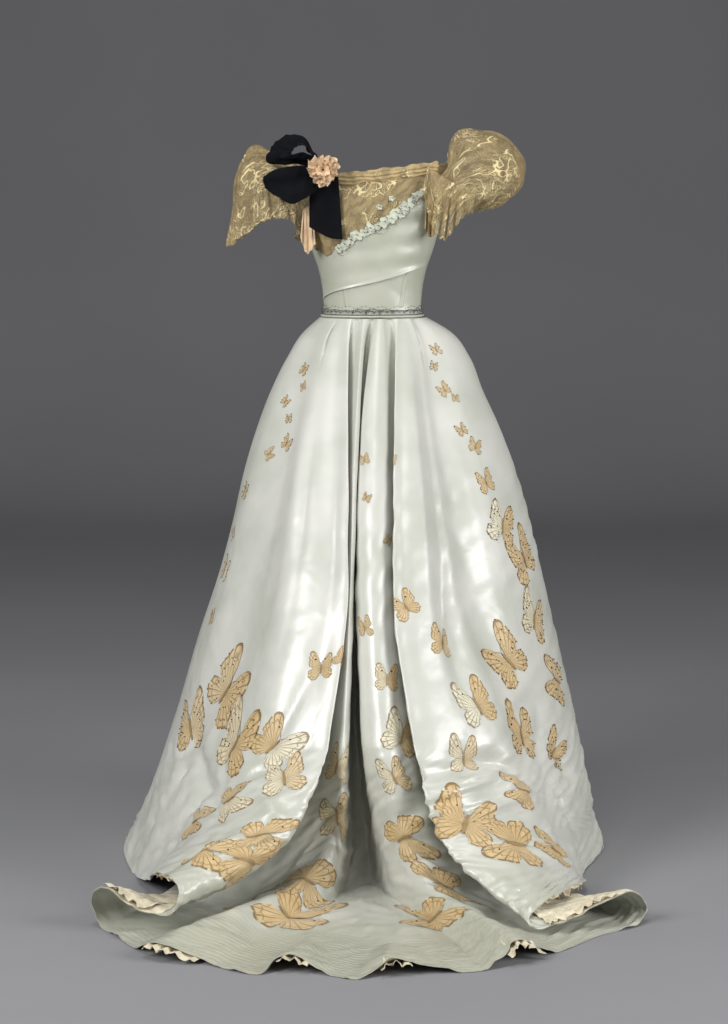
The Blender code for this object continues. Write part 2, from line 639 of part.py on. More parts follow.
def build_bodice():
    back_levels = (
        even_levels(neck_height, drape_head, 3)
        + [yoke_foot]
        + even_levels(yoke_foot, drape_foot, 4)[1:]
        + [band_line, level_foot]
    )
    turn, z = panel_grid(back_edge, lambda z: 180 - back_edge(z), back_levels, BACK_COLUMNS)
    on_torso("bodice_back", (turn, z), -WALL, WALL, SATIN)
    on_torso("back_drape", (turn[DRAPE_ROWS], z[DRAPE_ROWS]), SEAM_GAP, WALL, SATIN)
    on_torso("lace_yoke", (turn[YOKE_ROWS], z[YOKE_ROWS]), SEAM_GAP + LAYER, WALL, LACE)
    front = panel_grid(
        lambda z: 180 - front_edge(z),
        lambda z: 360 + front_edge(z),
        even_levels(neck_height, band_line, BODICE_ROWS) + [level_foot],
        17,
    )
    on_torso("bodice_front", front, -WALL, WALL, SATIN)
    turn, z = panel_grid(
        lambda z: seam_turn(FRONT_SEAM_TURN, z) - LAP_TURN,
        lambda z: seam_turn(BACK_SEAM_TURN, z) + LAP_TURN,
        even_levels(lambda turn: armhole_sill(turn * 0.8), band_line, BODICE_ROWS) + [level_foot],
        9,
    )
    inside = -LAP_DEPTH - 2 * WALL
    on_torso("bodice_side_left", (turn, z), inside, WALL, SATIN)
    on_torso("bodice_side_right", (180.0 - turn, z), inside, WALL, SATIN)


def neck_band(name, first, last, waves, out):
    """A ruched band along the neckline, a flat tube with gathers across it."""
    turns = np.linspace(first, last, waves * 3 + 1)
    centre_z = neck_height(turns) - 0.004
    swell = 1 + 0.28 * np.sin(np.linspace(0, 2 * math.pi * waves, len(turns)))
    section = np.linspace(0, 2 * math.pi, 6, endpoint=False)
    lift = 0.0105 * np.sin(section)[:, None] * np.ones_like(turns)
    bulge = 0.0033 * (1 + np.cos(section))[:, None] * swell
    points = torso(turns[None, :], centre_z + lift, out + bulge)
    tube(name, points.transpose(1, 0, 2), LACE)


def tube(name, sections, finish):
    """A solid carried along sections[place, point], closed by a fan at both ends."""
    places, count = sections.shape[:2]
    points = np.concatenate([sections.reshape(-1, 3), sections[:1].mean(1), sections[-1:].mean(1)])
    side = triangles_of(places, count, True)
    ring = np.arange(count)
    after = (ring + 1) % count
    first, last = places * count, places * count + 1
    start = np.stack([ring, after, np.full(count, first)], 1)
    end = (places - 1) * count
    finish_cap = np.stack([end + after, end + ring, np.full(count, last)], 1)
    return add_mesh(name, points, np.concatenate([side, start, finish_cap]), finish)


WAIST_POINTS = 40
PIPING_RADIUS = 0.0024


def build_waist():
    """The beaded band over the bodice's foot and the corded piping below it."""
    turns = np.linspace(0, 360, WAIST_POINTS, endpoint=False)[None, :]
    heights = np.array([BAND_TOP, BAND_FOOT])[:, None]
    face = torso(turns, heights, LAYER + SEAM_GAP)
    wall("waist_band", face, torso(turns, heights, 2 * SEAM_GAP), BEADING, closed=True)
    section = np.linspace(0, 2 * math.pi, 6, endpoint=False)[:, None]
    cord = PIPING_RADIUS
    ring = torso(turns, -0.0003 + cord * np.sin(section), 3 * SEAM_GAP + cord * (1 + np.cos(section)))
    closed_ring("waist_piping", ring, SATIN)


def closed_ring(name, rings, finish):
    """A tube that closes on itself: rings[point of the section, place round]."""
    count, places = rings.shape[:2]
    faces = triangles_of(count + 1, places, True) % (count * places)
    return add_mesh(name, rings.reshape(-1, 3), faces, finish)


# The sleeve's first ring stands off the torso by the layers that it laps over
LAP_ON_BACK = 2 * LAYER + 3 * SEAM_GAP
LAP_ON_FRONT = LAYER + SEAM_GAP
LAP_MIDDLE = math.radians(50)
LAP_FULL = math.cos(math.radians(50))
LAP_NONE = math.cos(math.radians(95))


def armhole_ring(side, angles):
    """The sleeve's first ring, lapped over the armhole's edge, with angles from the top."""
    turn = ARMHOLE_LEAD + ARMHOLE_TURN * np.sin(angles)
    z = ARMHOLE_HEIGHT + UNDERARM_DROP * np.cos(angles)
    share = np.clip((np.cos(angles - LAP_MIDDLE) - LAP_NONE) / (LAP_FULL - LAP_NONE), 0.0, 1.0)
    lap = LAP_ON_FRONT + (LAP_ON_BACK - LAP_ON_FRONT) * share**2 * (3 - 2 * share)
    points = torso(turn, z) + (torso(turn, z, 1.0) - torso(turn, z)) * lap[:, None]
    points[..., 0] *= side
    return points


# Rings of the right puff, turned about the underarm: angle from straight up towards the outside,
# distance of the outer and inner points from the underarm, and half the depth
Puff = namedtuple("Puff", "lean outer inner depth gather")
PUFF = (
    Puff(3, 0.133, 0.002, 0.073, 0.0020),
    Puff(10, 0.168, 0.007, 0.087, 0.0030),
    Puff(24, 0.184, 0.012, 0.098, 0.0030),
    Puff(40, 0.189, 0.018, 0.101, 0.0030),
    Puff(54, 0.182, 0.024, 0.094, 0.0030),
    Puff(64, 0.163, 0.031, 0.081, 0.0030),
    Puff(71, 0.130, 0.037, 0.060, 0.0020),
    Puff(76, 0.100, 0.042, 0.042, 0.0010),
)
UNDERARM = np.array((0.141, -0.002, 0.183))
PUFF_WAVES = 11


def sleeve_wall(name, rings):
    """A closed sleeve of lace: rings[place down, place round] with the wall inside them."""
    normal = grid_normal(rings, closed=True)
    away = rings - rings.mean(axis=1, keepdims=True)
    normal *= np.sign((normal * away).sum())
    wall(name, rings, inner_face(rings, normal, WALL, closed=True), LACE, closed=True)


def puff_rings(angles):
    """Rings of the puff from the armhole to its cuff."""
    rings = [armhole_ring(-1, angles)]
    gathers = np.sin(angles * PUFF_WAVES)
    for row in PUFF:
        lean = math.radians(row.lean)
        up = np.array((-math.sin(lean), 0.0, math.cos(lean)))
        middle = 0.5 * (row.outer + row.inner)
        half = 0.5 * (row.outer - row.inner)
        swell = row.gather * gathers
        centre = UNDERARM * (-1, 1, 1) + up * middle
        ring = (
            centre
            + up * ((half + swell) * np.cos(angles))[:, None]
            + np.array((0, 1.0, 0)) * ((row.depth + swell) * np.sin(angles))[:, None]
        )
        rings.append(ring)
    return np.stack(rings)


def build_right_sleeve():
    angles = np.linspace(0, 2 * math.pi, PUFF_WAVES * 3, endpoint=False)
    sleeve_wall("sleeve_right_puff", puff_rings(angles))
    leaf("sleeve_right_fall", FALL, 7, 0.006, LACE)
    leaf("sleeve_right_tulle", TULLE, 3, 0.004, LACE)


# Leaves of cloth that hang by their upper edge: points of that edge and of the foot, in order
Leaf = namedtuple("Leaf", "top_x top_y top_z foot_x foot_y foot_z")
FALL = (
    Leaf(-0.104, 0.0824, 0.284, -0.094, 0.104, 0.240),
    Leaf(-0.124, 0.0870, 0.268, -0.111, 0.108, 0.180),
    Leaf(-0.147, 0.0925, 0.254, -0.134, 0.109, 0.150),
    Leaf(-0.170, 0.0940, 0.243, -0.163, 0.102, 0.182),
    Leaf(-0.194, 0.0953, 0.232, -0.196, 0.095, 0.214),
)
TULLE = (
    Leaf(-0.100, 0.0804, 0.236, -0.098, 0.086, 0.166),
    Leaf(-0.110, 0.0747, 0.226, -0.108, 0.083, 0.150),
    Leaf(-0.119, 0.0690, 0.216, -0.120, 0.079, 0.156),
)
PEACH_FRILL = (
    Leaf(0.132, 0.0628, 0.200, 0.136, 0.075, 0.150),
    Leaf(0.122, 0.0662, 0.210, 0.123, 0.080, 0.122),
    Leaf(0.112, 0.0722, 0.214, 0.108, 0.086, 0.140),
)
LEAF_POINTS_PER_WAVE = 4


def leaf(name, rows, waves, depth, finish):
    """A ruffled leaf: flat at its upper edge, with waves that grow towards its foot."""
    at = np.linspace(0, len(rows) - 1, waves * LEAF_POINTS_PER_WAVE + 1)
    top = bend(np.array([row[:3] for row in rows]), at)
    foot = bend(np.array([row[3:] for row in rows]), at)
    share = np.linspace(0, 1, 3)[:, None, None]
    wave = np.sin(np.linspace(0, 2 * math.pi * waves, len(at)))[None, :, None]
    outward = np.array((0.0, 1.0, 0.0))
    face = top + (foot - top) * share + outward * depth * wave * share
    wall(name, face, face - WALL * outward, finish)


# The left flounce: places round it, from the outside by way of the back, with a middle and a hem point
Flounce = namedtuple("Flounce", "mid_x mid_y mid_z hem_x hem_y hem_z")
FLOUNCE = (
    Flounce(0.232, 0.000, 0.318, 0.274, 0.000, 0.134),
    Flounce(0.228, 0.052, 0.300, 0.256, 0.052, 0.146),
    Flounce(0.196, 0.092, 0.272, 0.200, 0.088, 0.184),
    Flounce(0.160, 0.088, 0.236, 0.160, 0.086, 0.186),
    Flounce(0.136, 0.052, 0.182, 0.142, 0.058, 0.168),
    Flounce(0.138, 0.000, 0.162, 0.144, 0.000, 0.146),
    Flounce(0.140, -0.056, 0.180, 0.146, -0.060, 0.166),
    Flounce(0.156, -0.094, 0.236, 0.158, -0.090, 0.186),
    Flounce(0.196, -0.094, 0.272, 0.200, -0.090, 0.184),
    Flounce(0.228, -0.052, 0.300, 0.256, -0.052, 0.146),
)
FLOUNCE_WAVES = 12
FLOUNCE_RINGS = 7


def flounce_rings(angles):
    """Rings from the left armhole through the middle points to the waved hem."""
    places = angles / (2 * math.pi) * len(FLOUNCE)
    armhole = armhole_ring(1, angles)
    centre = np.array((0.165, 0.0, 0.225))
    middle = bend_round(np.array([(row.mid_x, row.mid_y, row.mid_z) for row in FLOUNCE]), places)
    hem = bend_round(np.array([(row.hem_x, row.hem_y, row.hem_z) for row in FLOUNCE]), places)
    wave = np.sin(angles * FLOUNCE_WAVES)[:, None]
    middle = middle + unit(middle - centre) * 0.002 * wave
    out = unit((hem - centre) * (1, 1, 0.15))
    hem = hem + out * 0.006 * wave
    return bend(np.stack([armhole, middle, hem]), np.linspace(0, 2, FLOUNCE_RINGS))


def build_left_sleeve():
    angles = np.linspace(0, 2 * math.pi, FLOUNCE_WAVES * 3, endpoint=False)
    sleeve_wall("sleeve_left_flounce", flounce_rings(angles))
    leaf("sleeve_left_frill", PEACH_FRILL, 3, 0.004, PEACH)


# Loops of the bow: places round each ribbon ring, with a point of its back edge and of its front edge
Loop = namedtuple("Loop", "back_x back_y back_z front_x front_y front_z")
BOW_LOOP = (
    Loop(0.1015, 0.1080, 0.289, 0.1005, 0.1200, 0.290),
    Loop(0.160, 0.1047, 0.289, 0.128, 0.1327, 0.300),
    Loop(0.198, 0.1017, 0.292, 0.150, 0.1397, 0.305),
    Loop(0.190, 0.0997, 0.315, 0.153, 0.1417, 0.322),
    Loop(0.165, 0.0987, 0.336, 0.141, 0.1407, 0.335),
    Loop(0.138, 0.1007, 0.338, 0.124, 0.1337, 0.335),
    Loop(0.120, 0.1047, 0.312, 0.114, 0.1257, 0.316),
)
BOW_WING = (
    Loop(0.102, 0.1147, 0.281, 0.103, 0.1147, 0.238),
    Loop(0.150, 0.1247, 0.282, 0.148, 0.1247, 0.214),
    Loop(0.186, 0.1227, 0.274, 0.180, 0.1227, 0.228),
    Loop(0.205, 0.1107, 0.262, 0.202, 0.1107, 0.243),
    Loop(0.186, 0.0997, 0.272, 0.180, 0.0987, 0.226),
    Loop(0.150, 0.0987, 0.278, 0.148, 0.0977, 0.212),
    Loop(0.1035, 0.1047, 0.276, 0.104, 0.1047, 0.242),
)
BOW_TAIL = (
    Leaf(0.118, 0.0987, 0.262, 0.119, 0.097, 0.169),
    Leaf(0.101, 0.1007, 0.266, 0.100, 0.103, 0.158),
    Leaf(0.083, 0.1007, 0.266, 0.078, 0.101, 0.148),
    Leaf(0.064, 0.1007, 0.262, 0.056, 0.100, 0.146),
)
LOOP_POINTS = 21


def ribbon_loop(name, rows):
    """A ribbon sewn end to end, carried round between its two edges."""
    at = np.linspace(0, len(rows), LOOP_POINTS, endpoint=False)
    back = bend_round(np.array([row[:3] for row in rows]), at)
    front = bend_round(np.array([row[3:] for row in rows]), at)
    share = np.linspace(0, 1, 3)[:, None, None]
    face = back + (front - back) * share
    normal = grid_normal(face, closed=True)
    normal *= np.sign((normal * (face - face.mean(axis=1, keepdims=True))).sum())
    wall(name, face, face - WALL * normal, VELVET, closed=True)


# Rosette of gathered ribbon: a row per layer, with radii, place along its axis, waves and their depth
Petal = namedtuple("Petal", "name inner outer rise waves depth")
PETALS = (
    Petal("rosette_outer", 0.006, 0.034, 0.000, 10, 0.0035),
    Petal("rosette_inner", 0.003, 0.021, 0.005, 7, 0.0030),
)
ROSETTE = np.array((0.092, 0.1309, 0.275))
PETAL_POINTS_PER_WAVE = 4


def rosette_layer(petal):
    """A ring of gathered ribbon, flat at its inner edge and waved at its outer edge."""
    angles = np.linspace(0, 2 * math.pi, petal.waves * PETAL_POINTS_PER_WAVE, endpoint=False)
    share = np.linspace(0, 1, 3)[:, None]
    radius = petal.inner + (petal.outer - petal.inner) * share + 0.0 * angles
    lift = petal.rise + share * (0.004 + petal.depth * np.sin(petal.waves * angles))
    face = ROSETTE + np.stack([radius * np.cos(angles), lift, radius * np.sin(angles)], axis=-1)
    wall(petal.name, face, face - np.array((0.0, WALL, 0.0)), PEACH, closed=True)


# Sections of the knot between the ribbons and the rosette, from its foot up
Knot = namedtuple("Knot", "z half_width half_depth")
KNOTS = (
    Knot(0.252, 0.006, 0.0100),
    Knot(0.262, 0.009, 0.0144),
    Knot(0.288, 0.009, 0.0144),
    Knot(0.300, 0.006, 0.0100),
)
KNOT_CENTRE = (0.092, 0.1150)


def bow_knot():
    """The wrapped knot, a rounded upright roll of the same velvet."""
    angles = np.linspace(0, 2 * math.pi, 10, endpoint=False)
    sections = [
        np.stack(
            [
                KNOT_CENTRE[0] + knot.half_width * np.cos(angles),
                KNOT_CENTRE[1] + knot.half_depth * np.sin(angles),
                np.full_like(angles, knot.z),
            ],
            axis=-1,
        )
        for knot in KNOTS
    ]
    tube("bow_knot", np.stack(sections), VELVET)


def build_bow():
    leaf("bow_tail", BOW_TAIL, 1, 0.002, VELVET)
    bow_knot()
    ribbon_loop("bow_loop", BOW_LOOP)
    ribbon_loop("bow_wing", BOW_WING)
    for petal in PETALS:
        rosette_layer(petal)


def build_part():
    for old in list(bpy.data.objects):
        bpy.data.objects.remove(old, do_unlink=True)
    build_skirt()
    build_hem()
    build_bodice()
    build_waist()
    neck_band("neck_band_back", 43, 137, 9, 2 * LAYER + SEAM_GAP)
    neck_band("neck_band_front", 228, 312, 9, SEAM_GAP)
    build_right_sleeve()
    build_left_sleeve()
    build_bow()


build_part()
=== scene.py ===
"""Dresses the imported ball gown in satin, lace, velvet, ribbon, embroidery and beads, on a pale stage.

Metres, +Z up, the train towards +Y, the origin at the centre of the waist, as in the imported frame.
"""
import math
from collections import namedtuple

import bpy
import numpy as np
from bpy.props import FloatProperty, FloatVectorProperty, IntProperty, PointerProperty
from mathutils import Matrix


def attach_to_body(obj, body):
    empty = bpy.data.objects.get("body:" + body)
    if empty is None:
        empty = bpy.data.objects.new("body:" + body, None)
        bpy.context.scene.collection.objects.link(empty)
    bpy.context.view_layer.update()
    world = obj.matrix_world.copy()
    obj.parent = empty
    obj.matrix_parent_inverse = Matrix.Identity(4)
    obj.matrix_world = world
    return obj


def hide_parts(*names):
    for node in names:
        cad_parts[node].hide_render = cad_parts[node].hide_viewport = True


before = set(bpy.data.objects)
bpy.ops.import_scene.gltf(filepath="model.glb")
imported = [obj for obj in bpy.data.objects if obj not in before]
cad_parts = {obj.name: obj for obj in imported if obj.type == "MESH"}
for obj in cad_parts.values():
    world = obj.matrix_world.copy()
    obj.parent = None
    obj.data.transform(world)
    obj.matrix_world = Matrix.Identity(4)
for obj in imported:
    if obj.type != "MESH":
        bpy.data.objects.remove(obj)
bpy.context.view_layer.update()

bl_info = {
    "name": "Ball Gown Dresser",
    "version": (1, 0, 0),
    "blender": (4, 5, 0),
    "location": "3D View > Sidebar > Gown",
    "description": "Builds the visible cloth, lace, bow, embroidery and beads of a ball gown over its frame",
    "category": "Add Mesh",
}

# Sizes of the gown, the same as its solids have
FLOOR = -1.03
WALL = 0.0014
SEAM_GAP = 0.0003
LAYER = WALL + SEAM_GAP
UNDERARM_DROP = 0.062
ARMHOLE_HEIGHT = 0.235
ARMHOLE_TURN = 42.7
ARMHOLE_LEAD = -2.0
SKIRT_TOP = -0.0037
BODICE_FOOT = -0.0032
BAND_TOP = 0.0165
BAND_FOOT = 0.0028
KNEE = -0.75
MID = -0.48
LOW_HIP = -0.62
FRONT_BREAK = -0.93
FRONT_BREAK_SHARE = 0.55
ROUNDNESS = 2.25

# Walls of the visible cloths
SATIN_THICKNESS = 0.0007
SLEEVE_THICKNESS = 0.0006
THIN = 0.0005
THINNEST = 0.0004
VELVET_THICKNESS = 0.0014
# Least share of its box that a cut fills before its mean width is stated in its place
MIN_FILL = 0.32


def table(fields, rows, millimetres=""):
    """Rows with named fields from plain ones. The fields named in `millimetres`, or all of them, are
    written in millimetres and turned to metres here."""
    kind = namedtuple("Row", fields)
    small = kind._fields if millimetres == "all" else millimetres.split()
    scale = [1000 if name in small else None for name in kind._fields]
    return tuple(kind(*(value / by if by else value for value, by in zip(row, scale))) for row in rows)


# Skirt silhouette without its folds: a row per height, half widths and depths from the waist's centre
BELL = table("z left right back front", (
    (0, 95.5, 96.5, 82, 86),
    (-30, 130, 148, 106, 106),
    (-80, 163, 187, 142, 127),
    (-140, 193, 211, 176, 144),
    (-210, 220, 243, 213, 158),
    (-300, 247, 277, 264, 174),
    (-400, 270, 306, 317, 191),
    (-480, 291, 325, 355, 205),
    (-620, 337, 357, 418, 230),
    (-750, 375, 388, 474, 254),
), "all")

# Fold lines of the back from the left side to the right side, each from the waist, at a turn in
# degrees with a tuck, through mid and knee height and the break at the floor to the hem
FOLDS = table("name turn tuck mid_x mid_y knee_x knee_y break_x break_y break_z hem_x hem_y hem_z", (
    ("left side", 0, 0, 291, 0, 375, 0, 437, 20, -930, 483, 46, -1030),
    ("left back side", 20, 0, 270, 130, 345, 165, 408, 205, -930, 450, 255, -1030),
    ("left dip", 35, 0, 213, 214, 287, 268, 352, 350, -915, 408, 420, -1002),
    ("left swell", 45, 0, 176, 284, 243, 360, 312, 465, -893, 384, 540, -960),
    ("left soft crest", 52, 0, 144, 327, 197, 425, 262, 545, -878, 364, 602, -944),
    ("left lead", 57, 1, 94, 342, 137, 458, 205, 578, -874, 350, 650, -936),
    ("left fold", 61.5, 2, 45, 358, 80, 478, 149, 568, -886, 332, 690, -954),
    ("left under", 65.5, 1, 55, 337, 90, 450, 165, 548, -912, 345, 702, -986),
    ("left under mid", 68, -2, 80, 300, 126, 386, 262, 520, -980, 398, 702, -983),
    ("left valley top", 70, -4, 101, 268, 158, 328, 345, 484, -1000, 461, 664, -955),
    ("left valley", 72, -5, 106, 259, 167, 315, 372, 472, -1012, 487, 630, -986),
    ("left valley low", 74, -4, 101, 250, 160, 302, 352, 462, -1022, 478, 634, -1020),
    ("left inner", 76.5, -2, 66, 286, 105, 358, 225, 455, -1026, 439, 699, -1030),
    ("left ridge side", 79, 2, 50, 325, 68, 436, 113, 428, -960, 401, 774, -1030),
    ("left ridge", 81.8, 3, 41, 346, 52, 457, 84, 436, -952, 357, 840, -998),
    ("left ridge foot", 84.5, 1, 34, 328, 44, 432, 68, 440, -1000, 280, 866, -1023),
    ("left floor outer", 86, -2, 35.5, 294, 42, 380, 56, 412, -1026, 195, 927, -1030),
    ("left floor crest", 87.2, -4, 37, 262, 42, 326, 44, 376, -1030, 140, 905, -1001),
    ("left floor inner", 88.5, -6, 36, 236, 38, 288, 26, 350, -1030, 63, 938, -1030),
    ("centre back", 90, -6.5, 32, 229, 32, 275, 4, 335, -1030, 31, 955, -1030),
    ("right floor inner", 91.5, -6, 28, 236, 26, 288, -6, 346, -1030, -25, 930, -1005),
    ("right floor crest", 92.8, -4, 27, 262, 21, 326, -14, 374, -1030, -90, 925, -1014),
    ("right floor outer", 94, -2, 28.5, 294, 19, 380, -26, 416, -1024, -166, 910, -1030),
    ("right ridge foot", 95.5, 1, 29, 328, 18, 436, -38, 470, -992, -203, 892, -1017),
    ("right ridge", 98.2, 3, 0, 352, -20, 464, -75, 530, -952, -236, 862, -990),
    ("right ridge side", 101, 2, -30, 337, -60, 440, -135, 537, -975, -312, 792, -1030),
    ("right inner", 103.5, -2, -55, 289, -99, 364, -235, 478, -1022, -393, 687, -1030),
    ("right valley low", 106, -5, -88, 250, -153, 300, -335, 452, -1024, -452, 640, -1026),
    ("right valley", 108, -6, -95, 260, -160, 313, -354, 458, -1014, -476, 602, -1004),
    ("right valley top", 110, -5, -90, 270, -152, 327, -335, 470, -1004, -445, 640, -967),
    ("right under mid", 112, -3, -68, 305, -118, 388, -245, 516, -985, -349, 684, -998),
    ("right under", 114.5, 0, -49, 337, -85, 449, -152, 550, -925, -278, 704, -1014),
    ("right fold", 118.5, 3, -37, 360, -73, 480, -122, 566, -899, -266, 690, -1000),
    ("right lead", 123, 1, -72, 353, -120, 468, -180, 562, -890, -284, 668, -984),
    ("right second lead", 128, 1, -112, 327, -180, 432, -252, 505, -898, -338, 570, -980),
    ("right second fold", 133.5, 3, -147, 296, -238, 386, -317, 428, -915, -378, 440, -999),
    ("right dip", 139, -2, -178, 248, -266, 325, -340, 350, -930, -384, 340, -1024),
    ("right back seam", 150, 0, -248, 196, -318, 238, -366, 262, -925, -392, 265, -1030),
    ("right back side", 164, 0, -303, 105, -366, 130, -405, 150, -930, -420, 162, -1030),
    ("right side", 180, 0, -325, 0, -388, 0, -425, 30, -930, -447, 62, -1030),
), "tuck mid_x mid_y knee_x knee_y break_x break_y break_z hem_x hem_y hem_z")

# Flutes of the front, from the right side round to the left side
FLUTES = table("name turn swell hem_x hem_y", (
    ("right front side", 203, 0, -430, -110),
    ("right front seam", 225, -4, -345, -245),
    ("right front swell", 247, 5, -185, -335),
    ("front centre", 270, -2, 5, -362),
    ("left front swell", 293, 5, 205, -330),
    ("left front seam", 315, -4, 375, -245),
    ("left front side", 337, 0, 468, -115),
), "swell hem_x hem_y")

# Torso sections of the bodice: a row per height
TORSO = table("z half_width back front", (
    (-10, 94, 79, 84),
    (0, 94, 79, 84.2),
    (30, 95.5, 80, 87),
    (60, 99, 83, 95),
    (90, 105.5, 87, 106),
    (120, 116, 91, 117),
    (155, 126.5, 95, 125),
    (190, 136, 97, 124),
    (230, 144, 96, 115),
    (270, 150, 91, 103),
    (320, 153, 83, 92),
), "all")

# Neckline height by the turn from the left side, degrees, all round
NECKLINE = table("turn z", (
    (0, 297), (20, 290), (40, 274), (65, 262), (90, 268), (115, 276), (140, 285), (160, 291),
    (180, 297), (200, 288), (225, 252), (270, 215), (315, 252), (340, 288), (360, 297),
), "z")


def linear(code):
    """Turns an sRGB hex colour to linear: c / 12.92 up to 0.04045, above it ((c + 0.055) / 1.055) ** 2.4."""
    channels = np.array([int(code[place : place + 2], 16) for place in (1, 3, 5)]) / 255
    low, high = channels / 12.92, ((channels + 0.055) / 1.055) ** 2.4
    return tuple(float(value) for value in np.where(channels <= 0.04045, low, high))


def hermite(start, end, start_slope, end_slope, length, share):
    """The cubic between two values with the given slopes at both."""
    return (
        (2 * share**3 - 3 * share**2 + 1) * start
        + (share**3 - 2 * share**2 + share) * length * start_slope
        + (3 * share**2 - 2 * share**3) * end
        + (share**3 - share**2) * length * end_slope
    )


def bend(points, at):
    """A smooth curve through points[station, ...] at the stations in `at`. Each tangent is the mean of
    the two chords at its point, weighted by the roots of their lengths, and cubics join the points."""
    step = np.linalg.norm(np.diff(points, axis=0), axis=-1, keepdims=True)
    gap = np.sqrt(np.maximum(step, 1e-6))
    chord = np.diff(points, axis=0) / gap
    inner = (chord[:-1] * gap[1:] + chord[1:] * gap[:-1]) / (gap[1:] + gap[:-1])
    tangent = np.concatenate([chord[:1], inner, chord[-1:]])
    start = np.clip(np.floor(at).astype(int), 0, len(points) - 2)
    share = (np.asarray(at) - start).reshape((-1,) + (1,) * (points.ndim - 1))
    return hermite(points[start], points[start + 1], tangent[start], tangent[start + 1], gap[start], share)


def bend_round(points, at):
    """The same curve through a closed loop of points[station, ...]."""
    ring = np.concatenate([points[-2:], points, points[:3]])
    return bend(ring, np.mod(at, len(points)) + 2)


def read_table(rows, key, field, at):
    """A column of a table of sections, read at the given places by cubics with the table's own slopes."""
    places = np.array([getattr(row, key) for row in rows], float)
    values = np.array([getattr(row, field) for row in rows], float)
    order = np.argsort(places)
    places, values = places[order], values[order]
    at = np.clip(at, places[0], places[-1])
    slope = np.gradient(values, places)
    start = np.clip(np.searchsorted(places, at, side="right") - 1, 0, len(places) - 2)
    width = places[start + 1] - places[start]
    share = (at - places[start]) / width
    return hermite(values[start], values[start + 1], slope[start], slope[start + 1], width, share)


def between_three(first, second, third, at_first, at_second, at_third, at):
    """A curve through three values that never swings past them: cubics with the chords' slopes at the
    ends and, in the middle, the harmonic mean of both, or none where they point opposite ways."""
    before, after = at_second - at_first, at_third - at_second
    slope_before, slope_after = (second - first) / before, (third - second) / after
    product = slope_before * slope_after
    mean = 2 * product / np.where(product > 0, slope_before + slope_after, 1.0)
    slope = np.where(product > 0, mean, 0.0)
    early, late = (at - at_first) / before, (at - at_second) / after
    lower = hermite(first, second, slope_before, slope, before, early)
    upper = hermite(second, third, slope, slope_after, after, late)
    return np.where(early <= 1.0, lower, upper)


def circle(count):
    """Even angles once round a circle, in radians."""
    return np.linspace(0, 2 * math.pi, count, endpoint=False)


def smooth_step(low, high, value):
    """0 up to low, 1 from high, and 3 s^2 - 2 s^3 of the share s between them."""
    share = np.clip((value - low) / (high - low), 0.0, 1.0)
    return share * share * (3 - 2 * share)


def hump(value, middle, width):
    """A smooth bump: exp(-((value - middle) / width)^2)."""
    return np.exp(-(((value - middle) / width) ** 2))


def unit(vectors):
    """Each vector divided by its length."""
    return vectors / np.maximum(np.linalg.norm(vectors, axis=-1, keepdims=True), 1e-9)


def grid_normal(grid, closed=False):
    """Unit cross product of the mean steps down and across, out of a grid whose columns run
    anticlockwise seen from above."""
    down = np.gradient(grid, axis=0)
    if closed:
        across = np.roll(grid, -1, 1) - np.roll(grid, 1, 1)
    else:
        across = np.gradient(grid, axis=1)
    return unit(np.cross(unit(down), unit(across)))


def running_lengths(grid):
    """Lengths in metres run across each row and down each column of a grid, from its first point."""
    across = np.linalg.norm(np.diff(grid, axis=1), axis=-1)
    down = np.linalg.norm(np.diff(grid, axis=0), axis=-1)
    u = np.concatenate([np.zeros((grid.shape[0], 1)), np.cumsum(across, axis=1)], axis=1)
    v = np.concatenate([np.zeros((1, grid.shape[1])), np.cumsum(down, axis=0)], axis=0)
    return u, v


def waviness(u, v, waves, seed):
    """A soft irregular field: the mean of `waves` sines of u and v in metres, with directions, lengths
    and phases drawn from a seed. Values lie mostly within -1 and 1."""
    draw = np.random.default_rng(seed)
    total = np.zeros(np.broadcast(u, v).shape)
    for _ in range(waves):
        turn, length, phase = draw.uniform(0, math.pi), draw.uniform(0.6, 1.6), draw.uniform(0, 2 * math.pi)
        total = total + np.sin((u * math.cos(turn) + v * math.sin(turn)) * 2 * math.pi / length + phase)
    return total / math.sqrt(waves)


# Skirt


def bell_reach(x, y, z):
    """Half width and depth of the bell at each height, on the side where each line lies."""
    wide = np.where(x >= 0, read_table(BELL, "z", "left", z), read_table(BELL, "z", "right", z))
    deep = np.where(y >= 0, read_table(BELL, "z", "back", z), read_table(BELL, "z", "front", z))
    return wide, deep


def fold_stations():
    """Waist, mid, knee, break and hem points of every line round the skirt, as arrays."""
    waist, mid, knee, floor, hem = [], [], [], [], []
    for fold in FOLDS:
        turn = math.radians(fold.turn)
        x, y = math.cos(turn), math.sin(turn)
        wide, deep = bell_reach(x, y, 0.0)
        waist.append((x * (wide + fold.tuck), y * (deep + fold.tuck), 0.0))
        mid.append((fold.mid_x, fold.mid_y, MID))
        knee.append((fold.knee_x, fold.knee_y, KNEE))
        floor.append((fold.break_x, fold.break_y, fold.break_z))
        hem.append((fold.hem_x, fold.hem_y, fold.hem_z))
    for flute in FLUTES:
        turn = math.radians(flute.turn)
        x, y = math.cos(turn), math.sin(turn)
        for height, swell, points in ((0.0, 0.0, waist), (MID, 0.6, mid), (KNEE, 1.0, knee)):
            wide, deep = bell_reach(x, y, height)
            points.append((x * (wide + flute.swell * swell), y * (deep + flute.swell * swell), height))
        reach_x = knee[-1][0] + FRONT_BREAK_SHARE * (flute.hem_x - knee[-1][0])
        reach_y = knee[-1][1] + FRONT_BREAK_SHARE * (flute.hem_y - knee[-1][1])
        floor.append((reach_x, reach_y, FRONT_BREAK))
        hem.append((flute.hem_x, flute.hem_y, FLOOR))
    return [np.array(points) for points in (waist, mid, knee, floor, hem)]


